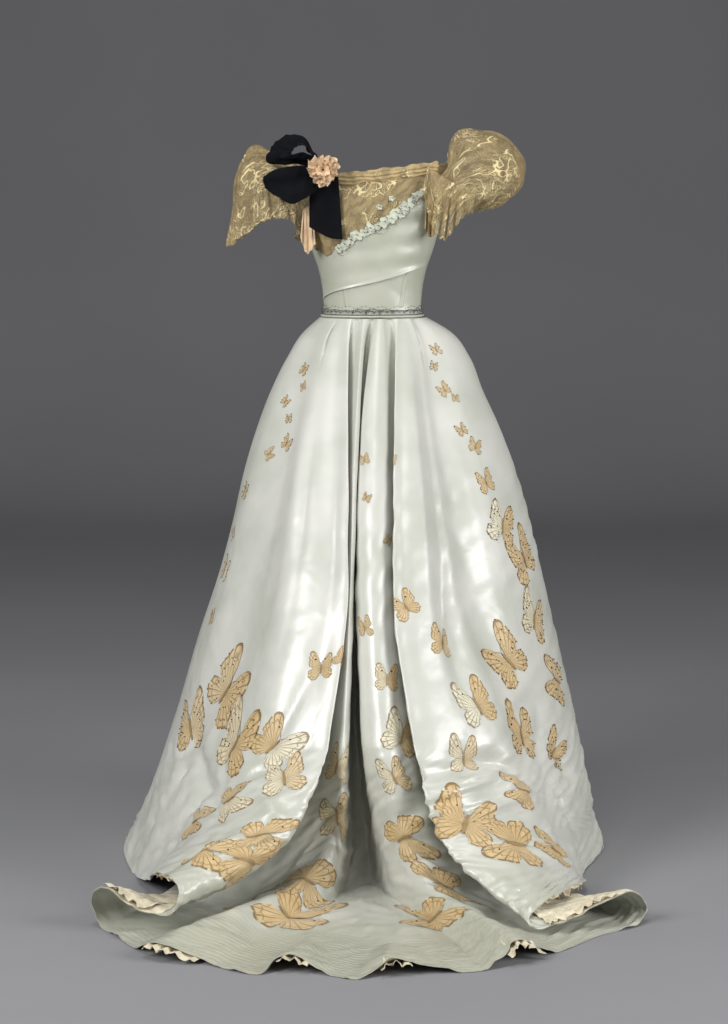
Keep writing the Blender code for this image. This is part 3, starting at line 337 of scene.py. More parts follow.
WAIST_LINE, MID_LINE, KNEE_LINE, BREAK_LINE, HEM_LINE = fold_stations()
LINES = len(FOLDS) + len(FLUTES)
LINE_NUMBER = {line.name: number for number, line in enumerate(FOLDS + FLUTES)}


def upper_lines(z):
    """The lines above the knee at the heights z: each spreads from the waist as the bell does."""
    z = np.asarray(z, float)[:, None]
    x_side = MID_LINE[None, :, 0] + 1e-9
    y_side = MID_LINE[None, :, 1] + 1e-9
    wide, deep = bell_reach(x_side, y_side, z)
    wide_knots = [bell_reach(x_side, y_side, np.full_like(x_side, h))[0] for h in (0.0, MID, KNEE)]
    deep_knots = [bell_reach(x_side, y_side, np.full_like(x_side, h))[1] for h in (0.0, MID, KNEE)]
    x = between_three(WAIST_LINE[:, 0], MID_LINE[:, 0], KNEE_LINE[:, 0], *wide_knots, wide)
    y = between_three(WAIST_LINE[:, 1], MID_LINE[:, 1], KNEE_LINE[:, 1], *deep_knots, deep)
    return np.stack([x, y, np.broadcast_to(z, x.shape)], axis=-1)


def skirt(rows, columns):
    """Outer face of the skirt at rows down, 0 to 1 from the waist to the knee and 1 to 3 over the
    break to the hem, and at columns round, which count the fold lines. Nothing lies below the floor."""
    rows = np.asarray(rows, float)
    above = upper_lines(SKIRT_TOP + (KNEE - SKIRT_TOP) * np.minimum(rows, 1.0))
    low_hip = upper_lines([LOW_HIP])[0]
    below = bend(np.stack([low_hip, KNEE_LINE, BREAK_LINE, HEM_LINE]), np.maximum(rows, 1.0))
    lines = np.where((rows <= 1.0)[:, None, None], above, below)
    points = bend_round(lines.transpose(1, 0, 2), np.asarray(columns, float)).transpose(1, 0, 2)
    points[..., 2] = np.maximum(points[..., 2], FLOOR + WALL)
    return points


# Soft dents and creases pressed into the satin: where they lie, by fold line and row, their half
# length and half width, their turn in degrees from level, and how far they stand out
CREASES = table("line row half_length half_width turn out", (
    (4.0, 0.42, 300, 18, 90, -6), (3.3, 0.4, 300, 22, 90, 5), (5.3, 0.5, 250, 14, 90, -5),
    (2.3, 0.4, 220, 30, 86, -5), (34.7, 0.4, 300, 18, 90, -8), (33.7, 0.45, 280, 14, 90, 5),
    (35.6, 0.38, 260, 22, 90, -6), (36.4, 0.42, 220, 20, 94, 4), (32.6, 0.5, 260, 10, 90, -4),
    (1.25, 1.2, 60, 24, 62, -15), (1.9, 1.16, 50, 16, 70, 6), (1.3, 1.55, 45, 15, 75, -13),
    (1.9, 1.42, 60, 17, -35, -14), (2.5, 1.55, 50, 16, 15, -14), (1.6, 1.72, 40, 10, 70, 6),
    (2.1, 1.8, 35, 12, 60, -11), (2.9, 1.42, 50, 12, -60, -8), (3.0, 1.72, 45, 11, 30, -8),
    (3.5, 1.84, 55, 11, -25, -8), (4.3, 1.28, 60, 13, 40, -10), (4.0, 1.46, 50, 10, 55, 6),
    (4.8, 1.66, 50, 10, -40, 6), (4.6, 0.94, 90, 12, 70, -6), (5.4, 2.1, 40, 8, 80, 5),
    (5.0, 2.25, 45, 8, 84, -5), (4.6, 2.35, 45, 8, 88, 5), (4.1, 2.42, 45, 8, 86, -5),
    (14.0, 1.5, 40, 8, 20, 4), (14.3, 1.85, 45, 8, -30, -4), (34.4, 0.72, 110, 15, 86, -12),
    (33.3, 1.22, 85, 18, 6, -15), (33.6, 1.36, 70, 11, 10, 7), (34.7, 1.22, 80, 16, -14, -15),
    (33.9, 1.5, 70, 13, 20, -10), (35.3, 1.42, 50, 13, -30, -11), (33.0, 1.62, 60, 12, -15, -8),
    (34.6, 1.7, 55, 12, 12, -9), (34.2, 1.9, 60, 12, 25, 6), (36.7, 1.18, 50, 14, 60, -11),
    (37.3, 1.42, 45, 13, -50, -11), (36.5, 1.6, 40, 11, 30, -9), (37.6, 1.7, 40, 10, 20, 6),
    (36.9, 1.85, 60, 11, -70, -8), (36.6, 0.95, 50, 12, 10, -6), (24.3, 1.55, 40, 9, 30, -6),
    (24.6, 1.9, 50, 10, -20, 5), (20.5, 2.55, 120, 18, 5, 4), (17.5, 2.5, 120, 18, -5, -2),
), "half_length half_width out")
WAIST_TUCKS = (3.4, 35.4)


class ClothMap:
    """The finished skirt as a fine grid, with its lengths, to lay embroidery and beads on."""

    def __init__(self, rows, per_line):
        """Lays the grid at these rows, with `per_line` columns from fold line to fold line."""
        self.rows = rows
        self.per_line = per_line
        self.columns = np.arange(2 * LINES * per_line) / per_line
        plain = skirt(rows, self.columns)
        normal = grid_normal(plain)
        round_end = LINES * per_line
        normal[:, 0] = normal[:, round_end]
        u, v = running_lengths(plain)
        out = self.stand_off(u, v)[:, :round_end]
        out = np.concatenate([out, out], axis=1)
        self.points = plain + out[..., None] * normal
        self.points[..., 2] = np.maximum(self.points[..., 2], FLOOR + 0.9 * WALL)
        self.normal = grid_normal(self.points)
        self.normal[:, 0] = self.normal[:, round_end]
        self.u, self.v = running_lengths(self.points)

    def stand_off(self, u, v):
        """How far the cloth stands out from its plain folds: the sum of the creases and a soft
        waviness that grows towards the hem. A crease falls off as exp(-r^1.5) with r its distance in
        shares of its half sizes, which keeps its crest crisp."""
        rows = np.broadcast_to(self.rows[:, None], u.shape)
        total = 0.0012 * waviness(u * 9, v * 4, 9, 3) * smooth_step(0.05, 0.6, rows)
        total += 0.0022 * waviness(u * 16, v * 12, 12, 5) * smooth_step(0.9, 1.6, rows)
        total += 0.0009 * waviness(u * 40, v * 34, 12, 8) * smooth_step(0.7, 1.4, rows)
        for crease in CREASES:
            row = int(np.argmin(np.abs(self.rows - crease.row)))
            column = int(round(crease.line * self.per_line))
            across = u - u[:, column : column + 1]
            down = v - v[row : row + 1, :]
            turn = math.radians(crease.turn)
            along = across * math.cos(turn) - down * math.sin(turn)
            aside = across * math.sin(turn) + down * math.cos(turn)
            reach = (along / crease.half_length) ** 2 + (aside / crease.half_width) ** 2
            total += 1.2 * crease.out * np.exp(-(reach**0.75)) * smooth_step(3.0, 2.9, rows)
        lines = np.broadcast_to(self.columns[None, :], u.shape)
        for tuck in WAIST_TUCKS:
            total -= 0.007 * hump(lines, tuck, 0.1) * smooth_step(0.13, 0.02, rows)
        from_start = np.minimum(lines, np.abs(LINES - lines))
        return total * smooth_step(0.0, 0.04, rows) * smooth_step(0.0, 0.5, from_start)

    def read(self, field, row, column):
        """A field of the grid between its points, in proportion to the four round each place."""
        row = np.clip(row, 0, field.shape[0] - 1.001)
        column = np.clip(column, 0, field.shape[1] - 1.001)
        top, left = np.floor(row).astype(int), np.floor(column).astype(int)
        down, across = row - top, column - left
        if field.ndim == 3:
            down, across = down[..., None], across[..., None]
        upper = field[top, left] * (1 - across) + field[top, left + 1] * across
        lower = field[top + 1, left] * (1 - across) + field[top + 1, left + 1] * across
        return upper * (1 - down) + lower * down

    def lay(self, line, row, across, up, out):
        """Points reached from a fold line and row by going `up` metres along the fold and `across`
        metres round the skirt on the cloth itself, then `out` from its face."""
        column = line * self.per_line + 0.0 * across
        start = np.interp(row, self.rows, np.arange(len(self.rows)))
        length = self.v[:, int(round(line * self.per_line))]
        numbers = np.arange(len(length))
        place = np.interp(np.interp(start, numbers, length) - up, length, numbers)
        goal = self.read(self.u, place, column) + across
        for _ in range(14):
            slope = self.read(self.u, place, column + 0.5) - self.read(self.u, place, column - 0.5)
            step = (goal - self.read(self.u, place, column)) / np.maximum(slope, 1e-5)
            column = column + np.clip(step, -6.0, 6.0)
        return self.read(self.points, place, column) + out * unit(self.read(self.normal, place, column))


ROW_KNOTS = (0.0, 0.12, 1.0, 1.6, 2.9, 3.0)
ROW_COUNTS = (14, 70, 40, 76, 8)
FINE_ROWS = np.unique(
    np.concatenate(
        [
            np.linspace(low, high, count)
            for low, high, count in zip(ROW_KNOTS[:-1], ROW_KNOTS[1:], ROW_COUNTS)
        ]
    )
)
PER_LINE = 10
SKIRT = ClothMap(FINE_ROWS, PER_LINE)


# Making meshes


def grid_faces(rows, cols, closed):
    """Quads of a grid of points, as rows of four point numbers."""
    across = cols if closed else cols - 1
    row = np.repeat(np.arange(rows - 1), across)
    col = np.tile(np.arange(across), rows - 1)
    after = (col + 1) % cols
    here, below = row * cols, (row + 1) * cols
    return np.stack([here + col, below + col, below + after, here + after], 1)


def rim_faces(rows, cols, closed, offset):
    """Quads that join the border of a face grid to the same border of its back grid."""
    top = np.arange(cols)
    if closed:
        top = np.append(top, 0)
    runs = [top, ((rows - 1) * cols + top)[::-1]]
    if not closed:
        left = np.arange(rows) * cols
        runs += [left[::-1], left + cols - 1]
    quads = [np.stack([run[:-1], run[1:], run[1:] + offset, run[:-1] + offset], 1) for run in runs]
    return np.concatenate(quads)


def turned_out(points, faces):
    """The faces, turned round if the volume that they enclose comes out negative."""
    a, b, c = points[faces[:, 0]], points[faces[:, 1]], points[faces[:, 2]]
    d = points[faces[:, 3]] if faces.shape[1] == 4 else c
    volume = np.einsum("ij,ij->i", a, np.cross(b, c) + np.cross(c, d)).sum()
    return faces if volume >= 0 else faces[:, ::-1]


def new_piece(name, points, faces, finish, fields=None, sharp=None):
    """A mesh object from whole arrays. Fields are point attributes: pairs become UV maps and single
    numbers become float attributes."""
    mesh = bpy.data.meshes.new(name)
    corners = faces.shape[1]
    mesh.vertices.add(len(points))
    mesh.vertices.foreach_set("co", np.ascontiguousarray(points, np.float32).ravel())
    mesh.loops.add(faces.size)
    mesh.loops.foreach_set("vertex_index", faces.astype(np.int32).ravel())
    mesh.polygons.add(len(faces))
    mesh.polygons.foreach_set("loop_start", np.arange(0, faces.size, corners, dtype=np.int32))
    mesh.polygons.foreach_set("loop_total", np.full(len(faces), corners, np.int32))
    mesh.update(calc_edges=True)
    for field, values in (fields or {}).items():
        if values.ndim == 2:
            layer = mesh.uv_layers.new(name=field)
            layer.data.foreach_set("uv", values[faces.ravel()].astype(np.float32).ravel())
        else:
            layer = mesh.attributes.new(field, "FLOAT", "POINT")
            layer.data.foreach_set("value", values.astype(np.float32))
    mesh.materials.append(finish)
    mesh.shade_smooth()
    if sharp is not None:
        mesh.set_sharp_from_angle(angle=math.radians(sharp))
    mesh.validate()
    piece = bpy.data.objects.new(name, mesh)
    bpy.context.collection.objects.link(piece)
    return piece


def cloth(name, face, finish, thickness=SATIN_THICKNESS, closed=False, normal=None, lengths=None):
    """A wall of cloth: the face grid, a back grid moved in along the normals, and the rim between.
    Its UV map "cloth" holds the lengths in metres run across and up from the foot."""
    normal = grid_normal(face, closed) if normal is None else normal
    rows, cols = face.shape[:2]
    u, v = running_lengths(face) if lengths is None else lengths
    points = np.concatenate([face.reshape(-1, 3), (face - thickness * normal).reshape(-1, 3)])
    count = rows * cols
    front = grid_faces(rows, cols, closed)
    faces = np.concatenate([front, front[:, ::-1] + count, rim_faces(rows, cols, closed, count)])
    across, up = u.ravel(), (v[-1:, :] - v).ravel()
    fields = {"cloth": np.stack([np.tile(across, 2), np.tile(up, 2)], 1)}
    return new_piece(name, points, turned_out(points, faces), finish, fields, sharp=50)


def cut_of(face, closed=False):
    """Width, length and area of the cut that a face grid was sewn from: its longest row, its longest
    column and the sum of its cells."""
    ring = np.concatenate([face, face[:, :1]], axis=1) if closed else face
    u, v = running_lengths(ring)
    first = np.cross(ring[1:, 1:] - ring[:-1, :-1], ring[1:, :-1] - ring[:-1, 1:])
    area = float(np.linalg.norm(first, axis=-1).sum() / 2)
    width, length = float(u[:, -1].max()), float(v[-1].max())
    return (round(width, 3), round(length, 3)), round(min(area, width * length), 4)


def lay_cloth(name, face, finish, nodes, slot, held, rests_on, closed=False, **wall):
    """Makes a sheet of cloth and rides it on the frame in place of its plain solids; its cut is worked out
    but not kept.
    """
    piece = cloth(name, face, finish, closed=closed, **wall)
    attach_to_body(piece, "root")
    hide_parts(*nodes)
    flat, area = cut_of(face, closed)
    if area < MIN_FILL * flat[0] * flat[1]:
        flat, area = (round(area / flat[1], 3), flat[1]), None


def attach(piece, slot, *nodes):
    """Rides a piece that isn't a sheet on the frame, in place of its plain solids."""
    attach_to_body(piece, "root")
    if nodes:
        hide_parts(*nodes)
    return piece


# Finishes


def plug(tree, target, sockets):
    """Fills a node's sockets: each takes a value, another node's output, or a node for its first output."""
    for key, value in sockets.items():
        source = value.outputs[0] if isinstance(value, bpy.types.Node) else value
        if isinstance(source, bpy.types.NodeSocket):
            tree.links.new(source, target.inputs[key])
        else:
            target.inputs[key].default_value = value


def node(tree, kind, sockets=None, **settings):
    """Adds one shader node with its settings and its sockets. A setting named "stops" fills a colour
    ramp with pairs of place and colour."""
    new = tree.nodes.new("ShaderNode" + kind)
    for key, value in settings.items():
        if key == "stops":
            ramp = new.color_ramp
            while len(ramp.elements) < len(value):
                ramp.elements.new(0.5)
            for element, (place, colour) in zip(ramp.elements, value):
                element.position, element.color = place, (*colour, 1.0)
        else:
            setattr(new, key, value)
    plug(tree, new, sockets or {})
    return new


def blank_finish(name, roughness, ior=1.5):
    """A material that holds only its shader, made once by name. It comes with its node tree and its
    shader, or with None for both where the material is there already."""
    finish = bpy.data.materials.get(name)
    if finish is not None:
        return finish, None, None
    finish = bpy.data.materials.new(name)
    finish.use_nodes = True
    shader = finish.node_tree.nodes["Principled BSDF"]
    plug(finish.node_tree, shader, {"Roughness": roughness, "IOR": ior})
    return finish, finish.node_tree, shader


def dyed(colour, *factors):
    """The colour times one factor, or one for each channel, with no channel above 1."""
    return tuple(float(value) for value in np.minimum(1.0, np.multiply(colour, factors)))


def silk_satin(colour, name="warp_faced_silk_satin", hem_lines=True):
    """Heavy warp-faced silk satin: long floats give broad bright highlights, fine streaks along the warp,
    soft crumples that catch the light, and, beside the hem of the train, woven lines with painted shade
    along them and a greyer, yellower painted shade over the train where it lies on the floor."""
    finish, tree, shader = blank_finish(name, 0.3, 1.54)
    if tree is None:
        return finish
    if not hem_lines:
        # Painted shade: the bodice's satin is drawn darker and greener, at 0.8, 0.81 and 0.73 of the colour
        colour = dyed(colour, 0.8, 0.81, 0.73)
    place = node(tree, "TexCoord").outputs["Object"]
    lengths = node(tree, "UVMap", uv_map="cloth")
    split = node(tree, "SeparateXYZ", {"Vector": lengths})
    # Warp streaks: threads are 0.1 mm, drawn 2 mm apart and long so that they show
    streak_scale = node(tree, "Mapping", {"Scale": (480.0, 14.0, 1.0), "Vector": lengths})
    streaks = node(tree, "TexNoise", {"Scale": 1.0, "Detail": 2.0, "Vector": streak_scale})
    cloud = node(tree, "TexNoise", {"Scale": 7.0, "Detail": 3.0, "Roughness": 0.55, "Vector": place})
    shade = dyed(colour, 0.84, 0.86, 0.82)
    tint = node(tree, "ValToRGB", {"Fac": cloud}, stops=((0.35, shade), (0.6, colour)))
    rough = node(tree, "MapRange", {
        "From Min": 0.3, "From Max": 0.7, "To Min": 0.29, "To Max": 0.42, "Value": streaks
    })
    # Crumples 30 to 70 mm across, as silk keeps them where it was folded, soft above the knee
    crumple = node(tree, "TexNoise", {
        "Scale": 15.0, "Detail": 1.5, "Roughness": 0.45, "Distortion": 0.3, "Vector": place
    })
    low = node(tree, "MapRange", {
        "From Min": 0.55, "From Max": 0.95, "To Min": 1.0, "To Max": 0.35,
        "Value": split.outputs["Y"],
    })
    pressed = node(tree, "Math", {0: crumple, 1: low}, operation="MULTIPLY")
    soft = node(tree, "Bump", {"Strength": 0.42, "Distance": 0.012, "Height": pressed})
    fine = node(tree, "Bump", {"Strength": 0.1, "Distance": 0.0006, "Height": streaks, "Normal": soft})
    normal, colour_out = fine, tint
    if hem_lines:
        # Lines woven 13 mm apart beside the hem of the train, waved by 12 mm, gone 0.34 m above it
        spot = node(tree, "SeparateXYZ", {"Vector": place})
        train = node(tree, "MapRange", {"From Min": 0.6, "From Max": 0.74, "Value": spot.outputs["Y"]})
        sway = node(tree, "TexNoise", {"Scale": 7.0, "Detail": 2.0, "Vector": lengths})
        shift = node(tree, "Math", {0: sway, 1: 0.06, 2: split.outputs["Y"]}, operation="MULTIPLY_ADD")
        wave = node(tree, "Math", {0: shift, 1: 2 * math.pi / 0.013}, operation="MULTIPLY")
        line = node(tree, "Math", {0: wave}, operation="SINE")
        near = node(tree, "MapRange", {
            "From Min": 0.18, "From Max": 0.34, "To Min": 1.0, "To Max": 0.0,
            "Value": split.outputs["Y"],
        })
        zone = node(tree, "Math", {0: train, 1: near}, operation="MULTIPLY")
        height = node(tree, "Math", {0: line, 1: zone}, operation="MULTIPLY")
        ribs = node(tree, "Bump", {
            "Strength": 0.35, "Distance": 0.0008, "Height": height, "Normal": normal
        })
        # Painted shade along the woven lines: the colour is drawn towards 0.62 of itself, by up to 0.42,
        # where the lines rise
        woven = node(tree, "MapRange", {"From Min": 0.3, "From Max": 1.0, "To Max": 0.42, "Value": height})
        deep = dyed(colour, 0.62)
        # Painted shade: towards +Y, over the train on the floor, the satin is drawn greyer and yellower, at
        # 0.71, 0.72 and 0.6 of its colour, by up to 0.85
        train_shade = dyed(colour, 0.71, 0.72, 0.6)
        train_shade_mask = node(tree, "MapRange", {
            "From Min": 0.5, "From Max": 0.76, "To Max": 0.85, "Value": spot.outputs["Y"]
        })
        train_shaded = node(tree, "Mix", {0: train_shade_mask, 6: colour_out, 7: (*train_shade, 1.0)}, data_type="RGBA")
        rib_shaded = node(tree, "Mix", {0: woven, 6: train_shaded.outputs[2], 7: (*deep, 1.0)}, data_type="RGBA")
        normal, colour_out = ribs.outputs[0], rib_shaded.outputs[2]
    plug(tree, shader, {
        "Base Color": colour_out, "Roughness": rough, "Normal": normal, "Specular IOR Level": 0.75,
        "Sheen Weight": 0.05, "Sheen Roughness": 0.4, "Anisotropic": 0.3,
    })
    return finish


def plain_cotton(colour):
    """Plain-woven cotton lining: matt, with crossed threads drawn 1.7 mm apart and small creases."""
    finish, tree, shader = blank_finish("plain_woven_cotton", 0.85)
    if tree is None:
        return finish
    place = node(tree, "TexCoord").outputs["Object"]
    threads = node(tree, "TexChecker", {"Scale": 600.0, "Vector": place})
    creases = node(tree, "TexNoise", {"Scale": 60.0, "Detail": 4.0, "Vector": place})
    # Painted shade: the cotton is drawn down to 0.62 of its colour where the crease noise, which also sinks
    # the bump, is low
    dark = dyed(colour, 0.62)
    tint = node(tree, "ValToRGB", {"Fac": creases}, stops=((0.25, dark), (0.6, colour)))
    soft = node(tree, "Bump", {"Strength": 0.5, "Distance": 0.003, "Height": creases})
    weave = node(tree, "Bump", {
        "Strength": 0.2, "Distance": 0.0003, "Height": threads.outputs["Fac"], "Normal": soft
    })
    plug(tree, shader, {"Base Color": tint, "Normal": weave})
    return finish


def needle_lace(net, cord, name="ecru_needle_lace", openness=0.12, spread=0.43):
    """Lace on fine net: sheer ground with meshes drawn 3 mm wide, and raised buttonholed cords that
    ring small flowers and wander between them as stems, gathered in sprays with bare net between."""
    finish, tree, shader = blank_finish(name, 0.7)
    if tree is None:
        return finish
    lengths = node(tree, "UVMap", uv_map="cloth")
    bent = node(tree, "TexNoise", {"Scale": 40.0, "Detail": 1.0, "Vector": lengths}, noise_dimensions="2D")
    swayed = node(tree, "VectorMath", {
        0: bent.outputs["Color"], 1: (0.01, 0.01, 0.0), 2: lengths
    }, operation="MULTIPLY_ADD")
    mesh = node(tree, "TexVoronoi", {
        "Scale": 330.0, "Vector": lengths
    }, feature="DISTANCE_TO_EDGE", voronoi_dimensions="2D")
    threads = node(tree, "MapRange", {
        "From Min": 0.03, "From Max": 0.14, "To Min": 1.0, "To Max": openness, "Value": mesh
    })
    # Flowers 19 mm apart, each of two cord rings
    flowers = node(tree, "TexVoronoi", {"Scale": 52.0, "Vector": swayed}, voronoi_dimensions="2D")
    ring = node(tree, "Math", {0: flowers, 1: 0.14}, operation="PINGPONG")
    rings = node(tree, "MapRange", {"From Min": 0.085, "From Max": 0.115, "Value": ring})
    inside = node(tree, "MapRange", {"From Min": 0.46, "From Max": 0.4, "Value": flowers})
    petals = node(tree, "Math", {0: rings, 1: inside}, operation="MULTIPLY")
    # Stems: the line where a slow noise crosses its middle value
    vine = node(tree, "TexNoise", {"Scale": 50.0, "Detail": 0.5, "Vector": lengths}, noise_dimensions="2D")
    stems = node(tree, "Math", {0: vine, 1: 0.5, 2: 0.03}, operation="COMPARE")
    drawn = node(tree, "Math", {0: petals, 1: stems}, operation="MAXIMUM")
    sprays = node(tree, "TexNoise", {
        "Scale": 17.0, "Detail": 1.0, "Vector": lengths
    }, noise_dimensions="2D")
    where = node(tree, "MapRange", {"From Min": spread, "From Max": spread + 0.03, "Value": sprays})
    motifs = node(tree, "Math", {0: drawn, 1: where}, operation="MULTIPLY")
    shaded = node(tree, "TexNoise", {
        "Scale": 60.0, "Detail": 3.0, "Vector": lengths
    }, noise_dimensions="2D")
    dark = dyed(net, 0.62)
    ground = node(tree, "ValToRGB", {"Fac": shaded}, stops=((0.35, dark), (0.62, net)))
    tint = node(tree, "Mix", {0: motifs, 6: ground, 7: (*cord, 1.0)}, data_type="RGBA")
    alpha = node(tree, "Math", {0: threads, 1: motifs}, operation="MAXIMUM")
    raised = node(tree, "Bump", {"Strength": 0.8, "Distance": 0.0014, "Height": motifs})
    plug(tree, shader, {"Base Color": tint.outputs[2], "Alpha": alpha, "Normal": raised})
    return finish


def silk_velvet(colour):
    """Cut-pile silk velvet: nearly black face on, with a dim blue bloom where the pile turns away."""
    finish, tree, shader = blank_finish("midnight_silk_velvet", 0.95)
    if tree is None:
        return finish
    place = node(tree, "TexCoord").outputs["Object"]
    pile = node(tree, "TexNoise", {"Scale": 420.0, "Detail": 2.0, "Vector": place})
    crush = node(tree, "TexNoise", {"Scale": 38.0, "Detail": 3.0, "Vector": place})
    # Painted sheen: the velvet is drawn up to 1.6 times its colour where the crush noise, which also raises
    # the bump, is high
    light = dyed(colour, 1.6)
    tint = node(tree, "ValToRGB", {"Fac": crush}, stops=((0.45, colour), (0.75, light)))
    soft = node(tree, "Bump", {"Strength": 0.6, "Distance": 0.004, "Height": crush})
    nap = node(tree, "Bump", {"Strength": 0.3, "Distance": 0.0005, "Height": pile, "Normal": soft})
    plug(tree, shader, {
        "Base Color": tint, "Normal": nap, "Specular IOR Level": 0.15, "Sheen Weight": 0.1,
        "Sheen Roughness": 0.3, "Sheen Tint": (*linear("#3A445C"), 1.0),
    })
    return finish


def silk_ribbon(colour, name="peach_silk_ribbon"):
    """Thin silk ribbon: half sheer, softly shining, with painted highlight where its crumples rise and
    painted shade where they sink.
    """
    finish, tree, shader = blank_finish(name, 0.5)
    if tree is None:
        return finish
    place = node(tree, "TexCoord").outputs["Object"]
    fade = node(tree, "TexNoise", {"Scale": 70.0, "Detail": 3.0, "Vector": place})
    # Painted highlight and shade: 1.2 and 0.8 times the colour, following the noise that also lifts the bump
    pale, deep = dyed(colour, 1.2), dyed(colour, 0.8)
    tint = node(tree, "ValToRGB", {"Fac": fade}, stops=((0.3, deep), (0.5, colour), (0.75, pale)))
    soft = node(tree, "Bump", {"Strength": 0.4, "Distance": 0.002, "Height": fade})
    plug(tree, shader, {"Base Color": tint, "Normal": soft, "Sheen Weight": 0.3})
    return finish


def couched_silk(gold, pale, outline):
    """Brocaded wings: floss laid from the root outwards, gold or silvery, with a dark couched cord at
    the rim, six veins, a scalloped band inside the rim and a row of eye spots. UV "wing" holds the
    share round the wing and outwards, and "tone" how pale it is."""
    finish, tree, shader = blank_finish("laid_silk_embroidery", 0.42)
    if tree is None:
        return finish
    wing = node(tree, "UVMap", uv_map="wing")
    split = node(tree, "SeparateXYZ", {"Vector": wing})
    tone = node(tree, "Attribute", attribute_name="tone")
    floss_scale = node(tree, "Mapping", {"Scale": (46.0, 3.0, 1.0), "Vector": wing})
    floss = node(tree, "TexNoise", {
        "Scale": 1.0, "Detail": 3.0, "Vector": floss_scale
    }, noise_dimensions="2D")
    ground = node(tree, "Mix", {0: tone.outputs["Fac"], 6: (*gold, 1.0), 7: (*pale, 1.0)}, data_type="RGBA")
    dark = node(tree, "MapRange", {"From Min": 0.5, "From Max": 0.72, "To Max": 0.55, "Value": floss})
    laid = node(tree, "Mix", {0: dark, 6: ground.outputs[2], 7: (*outline, 1.0)}, data_type="RGBA")
    # Veins: six lines from the root, straight in the wing's own shares, each a couched cord
    sixths = node(tree, "Math", {0: split.outputs["X"], 1: 6.0}, operation="MULTIPLY")
    swing = node(tree, "Math", {0: sixths, 1: 0.5}, operation="PINGPONG")
    vein = node(tree, "MapRange", {
        "From Min": 0.05, "From Max": 0.11, "To Min": 0.75, "To Max": 0.0, "Value": swing
    })
    # Scalloped band: it bows outwards between the veins
    bow = node(tree, "Math", {0: swing, 1: -0.18, 2: split.outputs["Y"]}, operation="MULTIPLY_ADD")
    band = node(tree, "Math", {0: bow, 1: 0.7, 2: 0.018}, operation="COMPARE")
    rim = node(tree, "MapRange", {
        "From Min": 0.915, "From Max": 0.955, "To Max": 0.9, "Value": split.outputs["Y"]
    })
    cords = node(tree, "Math", {0: vein, 1: rim}, operation="MAXIMUM")
    banded = node(tree, "Math", {0: band, 1: 0.7}, operation="MULTIPLY")
    all_cords = node(tree, "Math", {0: cords, 1: banded}, operation="MAXIMUM")
    edge = node(tree, "Mix", {0: all_cords, 6: laid.outputs[2], 7: (*outline, 1.0)}, data_type="RGBA")
    eyes_scale = node(tree, "Mapping", {
        "Location": (0.5, 0.0, 0.0), "Scale": (6.0, 3.0, 1.0), "Vector": wing
    })
    eyes = node(tree, "TexVoronoi", {
        "Scale": 1.0, "Randomness": 0.25, "Vector": eyes_scale
    }, voronoi_dimensions="2D")
    outer = node(tree, "MapRange", {"From Min": 0.78, "From Max": 0.8, "Value": split.outputs["Y"]})
    spot = node(tree, "MapRange", {"From Min": 0.22, "From Max": 0.16, "To Max": 0.8, "Value": eyes})
    eyed = node(tree, "Math", {0: outer, 1: spot}, operation="MULTIPLY")
    done = node(tree, "Mix", {0: eyed, 6: edge.outputs[2], 7: (*pale, 1.0)}, data_type="RGBA")
    relief = node(tree, "Math", {0: floss, 1: all_cords}, operation="ADD")
    raised = node(tree, "Bump", {"Strength": 0.6, "Distance": 0.001, "Height": relief})
    plug(tree, shader, {"Base Color": done.outputs[2], "Normal": raised, "Sheen Weight": 0.15})
    return finish


def cut_beads(colour, name, roughness, metallic):
    """Small cut beads: each facet is a clean bright plane, and some beads are duller with age."""
    finish, tree, shader = blank_finish(name, roughness)
    if tree is None:
        return finish
    place = node(tree, "TexCoord").outputs["Object"]
    spread = node(tree, "TexNoise", {"Scale": 160.0, "Detail": 1.0, "Vector": place})
    dull = dyed(colour, 0.55)
    tint = node(tree, "ValToRGB", {"Fac": spread}, stops=((0.38, dull), (0.6, colour)))
    plug(tree, shader, {"Base Color": tint, "Metallic": metallic})
    return finish


def painted_stage(colour, name):
    """Matt painted studio surface, with a faint mottle."""
    finish, tree, shader = blank_finish(name, 0.9)
    if tree is None:
        return finish
    place = node(tree, "TexCoord").outputs["Object"]
    mottle = node(tree, "TexNoise", {"Scale": 1.2, "Detail": 3.0, "Vector": place})
    dark = dyed(colour, 0.94)
    tint = node(tree, "ValToRGB", {"Fac": mottle}, stops=((0.3, dark), (0.7, colour)))
    plug(tree, shader, {"Base Color": tint})
    return finish


# Settings


